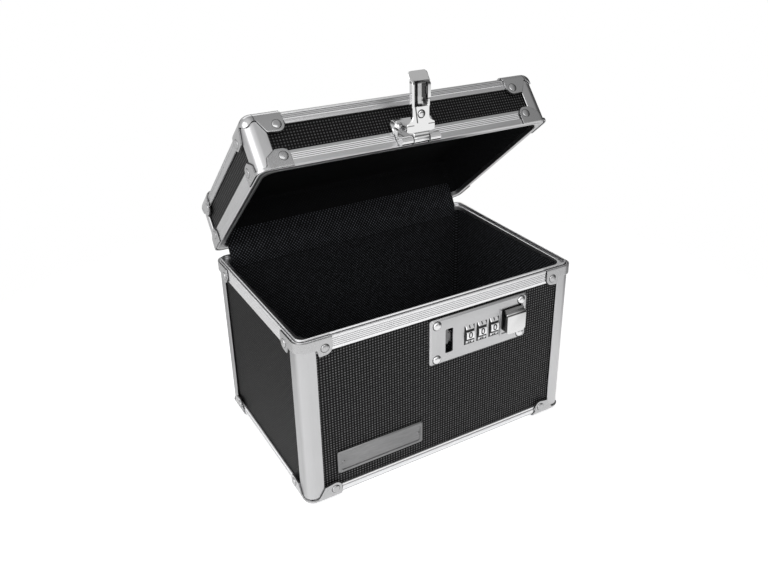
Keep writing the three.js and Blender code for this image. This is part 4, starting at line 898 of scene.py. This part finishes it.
# Slide's face: the end of the steel slide, where it catches the staple, seen deep in the plate's
# slot. It is painted pale, as painted light, so that it shows in the slot's shade.
def block(low, high):
    """Outline in x and z with corners of 0.3 mm, carried from front to back."""
    (x0, y0, z0), (x1, y1, z1) = low, high
    outline = fillet([(x0, z0), (x1, z0), (x1, z1), (x0, z1)], 0.3, 3)
    x, z = outline.T
    return loft([np.column_stack([x, np.full(len(x), y), z]) for y in (y0, y1)])


piece("latch_slide_painted_light_face", [block((2.3, -66.9, 87.5), (5.4, -66.2, 95.6))], pale_face, "release",
      "mechanism_steel")


# Rivets of the lock plate: bright steel domes, set through plate and board from the front. Each
# sits in a black ring that is painted shade round its foot.
FRONT_Y = -71.25  # front faces of the lock plate and the hasp base
for kind, radius, rise, look, slot in (("rivets", 3.0, 1.5, bright_chrome, "bright_chrome"),
                                       ("rivet_shade_rings", 3.4, 0.12, black, "case_plastic")):
    heads = [dome((x, FRONT_Y, z), (0, -1, 0), radius, rise) for x in (-8.35, 60.25) for z in (79.3, 104.9)]
    piece(f"lock_plate_{kind}", heads, look, "body", slot)


# Hasp arm: one bent chromed plate that hangs from the pin when shut and is flipped up here, with
# a hollow between side walls, a finger lip, a riveted boss, and a staple for the plate's slot.
HASP_X, PIN_Y, PIN_Z = 0.2, -73.85, 124.7
ARM_FACE = 2.5  # the arm's outer face lies this far before the pin
FLIPPED = math.radians(140)
BOSS_DOWN, BOSS_DEPTH = 15.8, 4.2
KNUCKLE, KNUCKLE_HALF = 2.7, 5.6  # radius and half length of the arm's knuckle
GAP_SHADE_RADIUS, GAP_SHADE_HALF = 2.95, 0.23  # and of the black disc at each of its ends, painted shade in the gap there
# distance down from the pin, half width, side walls, depth of the hollow, depth of the flat
ARM = np.array([
    (0.4, 5.2, 0, 0, 5.0), (3.4, 5.2, 0, 0, 4.6), (4.4, 5.4, 0, 0, 4.2), (5.0, 9.2, 0, 0, 4.2),
    (5.5, 9.7, 0, 0, 4.2), (9.6, 9.7, 0, 0, 4.2), (10.3, 9.4, 0, 0, 4.2), (10.9, 8.2, 0, 0, 4.2),
    (11.9, 6.6, 0.5, 0, 4.2), (13.2, 5.9, 2.0, 0, 4.2), (14.6, 5.7, 2.8, 0, 4.2),
    (19.4, 5.7, 2.8, 0, 4.2), (20.3, 5.9, 2.8, 0, 4.2), (20.6, 6.1, 2.8, 0.9, 4.2),
    (21.4, 6.1, 2.8, 1.7, 4.2), (23.2, 6.1, 2.8, 2.2, 4.2), (33.6, 6.1, 2.8, 2.2, 4.2),
    (35.3, 6.1, 2.8, 1.7, 4.2), (36.0, 6.1, 2.4, 0.9, 3.9), (36.4, 6.3, 1.4, 0.4, 3.2),
    (36.9, 6.6, 0.3, 0, 2.2), (37.4, 6.7, 0, 0, 1.7), (38.2, 6.7, 0, 0, 1.2), (39.1, 6.7, 0, 0, 0.7),
    (39.9, 6.6, 0, 0, 0.2), (40.6, 6.2, 0, 0, -0.2), (41.2, 5.4, 0, 0, -0.5), (41.5, 4.4, 0, 0, -0.7)])
WALL_SOFT = 0.35  # how far a side wall stands out past the flat
BOWL = 0.8  # the hollow's share of the width


def arm_chrome():
    """Chrome with painted reflections: the streaks of a bright hollow sheet, laid out on the arm as it
    stands here.

    A streak is 1 within half of its place and falls off to 0 over its softness. Dark streaks add up
    inside the hollow's window and darken the chrome, with lines of painted shade on neck and shoulder;
    one pale streak in the hollow is a painted highlight.
    """
    look, shader, place = new_look("arm_chrome")
    x, y, z = place.axes()

    def streak(value, at, half, soft):
        return abs(value - at).between(half, half + soft, 1.0, 0.0)

    hollow = streak(z, 248.0, 7.3, 0.6) * y.between(-37.8, -37.3, 0.0, 1.0)
    streaks = (streak(x, -1.7, 0.35, 0.4) * 0.95 + streak(x, 4.1, 1.5, 0.4) * 0.95
               + streak(x, -3.4, 1.1, 0.4) * 0.5 + streak(z, 255.0, 0.3, 0.8) * 0.7
               + streak(z, 240.9, 0.1, 0.5) * 0.6)
    neck = streak(z, 234.9, 4.7, 0.5) * streak(x + (z - 233.5) * 0.137, -3.06, 0.25, 0.35) * 0.92
    shoulder = streak(z, 228.7, 0.1, 0.35) * abs(x - 0.2).between(4.9, 5.3, 0.0, 1.0) * 0.8
    dark = (streaks * hollow + neck + shoulder).maths("MINIMUM", 0.94)
    painted = streak(x, 0.25, 1.15, 0.3) * streak(z, 247.5, 5.8, 0.5) * hollow
    amount = 0.82 * (1.0 - dark) + 0.15 * painted
    feed(shader, {"Metallic": 1.0 - painted, "Base Color": amount.grey(), "Roughness": 0.08})
    return look


def staple_chrome():
    """Painted reflections: a dark mirror of the hollow on the eye's sides, and a painted highlight along its
    outer edge.
    """
    look, shader, place = new_look("staple_chrome")
    edge = place.axes()[1].between(-42.75, -42.55, 1.0, 0.0)
    feed(shader, {"Metallic": 1.0, "Base Color": (0.10 + 0.85 * edge).grey(), "Roughness": 0.12})
    return look


def flipped(u, down, depth):
    """Place on the shut box of a point u across, down the arm and deep, turned up about the pin."""
    y, z = depth - ARM_FACE + 0 * down, -down + 0 * depth
    cosine, sine = math.cos(FLIPPED), math.sin(FLIPPED)
    return np.stack([HASP_X + u + 0 * (down + depth), PIN_Y + y * cosine + z * sine,
                     PIN_Z - y * sine + z * cosine], -1)


def arm_plate():
    """Inner skin of the plate: one cross section per row of the table.

    Across the flat the depth is flat - hollow sqrt(1 - (share / BOWL)^2); a side wall goes
    outwards from both edges in three steps, softened by WALL_SOFT.
    """
    down, half, wall, hollow, flat = ARM.T[:, :, None]
    across_flat, share = np.linspace(-1, 1, 31), np.array((1, 0.6, 0.3, 0))
    bowl = np.sqrt(np.clip(1 - (across_flat / BOWL) ** 2, 0, 1))
    side_u, side_depth = half + WALL_SOFT + 0 * share, flat - WALL_SOFT - wall * share
    u = np.hstack([-side_u, across_flat * half, side_u])
    depth = np.hstack([side_depth, flat - hollow * bowl, side_depth[:, ::-1]])
    return patch(flipped(u, down, depth))


def staple():
    """Eye: an outer and an inner outline in depth and down, both carried across the arm."""
    outer = fillet([(0.4, 25.5), (9.2, 25.5), (9.2, 36.0), (0.4, 36.0)], 1.6, 5)
    inner = fillet([(5.95, 27.9), (8.35, 27.9), (8.35, 33.4), (5.95, 33.4)], 0.6, 5)
    return loft([flipped(np.full(len(outline), u), outline[:, 1], outline[:, 0])
                 for u, outline in ((1.55, outer), (3.65, outer), (3.65, inner), (1.55, inner))],
                closed_rows=True)


def tube(x0, x1, radius, soft):
    """Round bar on the pin's axis: six circles, the outer ones smaller for a soft end."""
    turn = np.linspace(0, 2 * math.pi, 28, endpoint=False)
    x = np.array([x0, x0 + soft * 0.3, x0 + soft, x1 - soft, x1 - soft * 0.3, x1])[:, None]
    r = radius - soft * np.array([1, 0.3, 0, 0, 0.3, 1])[:, None]
    return loft(np.stack([x + 0 * turn, PIN_Y + r * np.cos(turn), PIN_Z + r * np.sin(turn)], -1))


# the arm's chrome has painted reflections and a painted highlight
piece("hasp_arm_visual", [arm_plate()], arm_chrome(), "hasp", "bright_chrome", ["hasp_arm"],
      thick=0.9, bevel=0.2, outward=False, sharp=40)
boss, deeper = flipped(np.zeros(2), np.full(2, BOSS_DOWN), np.array([BOSS_DEPTH, BOSS_DEPTH + 1]))
inward = deeper - boss
piece("hasp_arm_staple", [staple()], staple_chrome(), "hasp", "bright_chrome")
piece("hasp_arm_fittings", [tube(HASP_X - KNUCKLE_HALF, HASP_X + KNUCKLE_HALF, KNUCKLE, 0.3),
                            dome(boss, inward, 2.2, 0.7)], bright_chrome, "hasp", "bright_chrome")
# black discs at the knuckle's ends are painted shade in the gaps between knuckles
piece("hasp_pin_gap_shade", [tube(HASP_X + at - GAP_SHADE_HALF, HASP_X + at + GAP_SHADE_HALF, GAP_SHADE_RADIUS, 0.03)
                           for at in (-5.85, 5.85)], black, "lid", "case_plastic")
# black rings round the base's rivets and round the boss are painted shade
piece("hasp_base_rivet_shade_rings", [dome((HASP_X + at, FRONT_Y, 136.8), (0, -1, 0), 3.35, 0.12)
                                for at in (-9.6, 9.6)], black, "lid", "case_plastic")
piece("hasp_arm_boss_shade_ring", [dome(boss, inward, 2.8, 0.1)], black, "hasp", "case_plastic")


# Flap: a strip of the lining cloth, glued inside body and lid, that hides the gap at the hinge.
# It is cut to the gap with the lid as in the photograph, and stretched between its glued ends.
FLAP_Y, FLAP_HALF = 64.1, 96.5
FLAP_FOOT = (112.6, 115.6, 118.6, 121.4)  # heights glued to the body
FLAP_HEAD = (125.4, 128.5, 131.6, 134.7)  # heights on the shut lid, glued to it

foot, head = (np.column_stack([np.zeros(4), np.full(4, FLAP_Y), z]) for z in (FLAP_FOOT, FLAP_HEAD))
head = opened(head)
gap = foot[-1] + (head[0] - foot[-1]) * np.array([(0.25,), (0.5,), (0.75,)])
line = np.concatenate([foot, gap, head])
columns = np.linspace(-FLAP_HALF, FLAP_HALF, 61)[:, None] * (1, 0, 0)
points, quads, _ = patch(line[:, None] + columns)
mesh = bpy.data.meshes.new("hinge_flap_visual")
mesh.from_pydata((points / 1000).tolist(), [], quads.tolist())
# the flap's dots are paler than the body lining's: painted light where the flap catches the light
mesh.materials.append(cloth("cloth_flap", False, 0.32, 0.0))
mesh.shade_smooth()
flap = placed("hinge_flap_visual", mesh)
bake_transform(flap)
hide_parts("hinge_flap")


# Floor: a white sheet under the box that keeps its soft shadow and fades out into the white
# world. It glows a little for the camera, and in front of the box for metal that mirrors it.
FLOOR_Z, FLOOR_HALF = -2.7 * MM, 3
corners = [(-FLOOR_HALF, -FLOOR_HALF, FLOOR_Z), (FLOOR_HALF, -FLOOR_HALF, FLOOR_Z),
           (FLOOR_HALF, FLOOR_HALF, FLOOR_Z), (-FLOOR_HALF, FLOOR_HALF, FLOOR_Z)]
mesh = bpy.data.meshes.new("floor")
mesh.from_pydata(corners, [], [(0, 1, 2, 3)])
look = bpy.data.materials.new("floor_white")
look.use_nodes = True
shader = look.node_tree.nodes["Principled BSDF"]
start = Wire(shader.outputs[0])
rays = start.node("ShaderNodeLightPath", {}).socket.node.outputs
place = start.node("ShaderNodeTexCoord", {}, "Object")
in_front = place.axes()[1].between(0.0, 0.15, 0.5, 0.0)
distance = place.node("ShaderNodeVectorMath", {0: place}, 1, operation="LENGTH")
glow = 0.6 * Wire(rays["Is Camera Ray"]) + Wire(rays["Is Glossy Ray"]) * in_front
feed(shader, {"Base Color": (0.85, 0.85, 0.85, 1), "Roughness": 0.9, "Specular IOR Level": 0.0,
              "Emission Color": glow.grey(), "Emission Strength": 1.0,
              "Alpha": distance.between(0.2, 0.42, 1.0, 0.0)})
mesh.materials.append(look)
placed("floor", mesh)


# World: white to the camera and through clear things. Metal mirrors a studio with a grey ceiling,
# a dark right-hand wall and a dark band at eye level. It gives a plain grey light.
world = bpy.data.worlds.new("world")
world.use_nodes = True
scene.world = world
background = world.node_tree.nodes["Background"]
start = Wire(background.outputs[0])
rays = start.node("ShaderNodeLightPath", {}).socket.node.outputs
to_right, to_back, upwards = start.node("ShaderNodeTexCoord", {}, "Generated").axes()
direct = Wire(rays["Is Camera Ray"]).maths("MAXIMUM", Wire(rays["Is Transmission Ray"]))
ceiling = upwards.between(0.05, 0.4, 0.0, 0.5) * to_right.between(-0.35, 0.15, 0.0, 1.0)
studio = (1.0 - ceiling) * to_right.between(0.55, 0.85, 1.0, 0.12) * to_back.between(0.2, 0.7, 1.0, 0.7)
off_level = abs(upwards - 0.02).between(0.05, 0.14, 0.0, 1.0)
studio = studio * (1.0 - (1.0 - off_level) * to_right.between(-0.5, -0.2, 0.0, 0.85))
strength = 0.5 + 0.5 * direct + (studio - 0.5) * Wire(rays["Is Glossy Ray"]) * (1.0 - direct)
feed(background, {"Color": (1, 1, 1, 1), "Strength": strength})
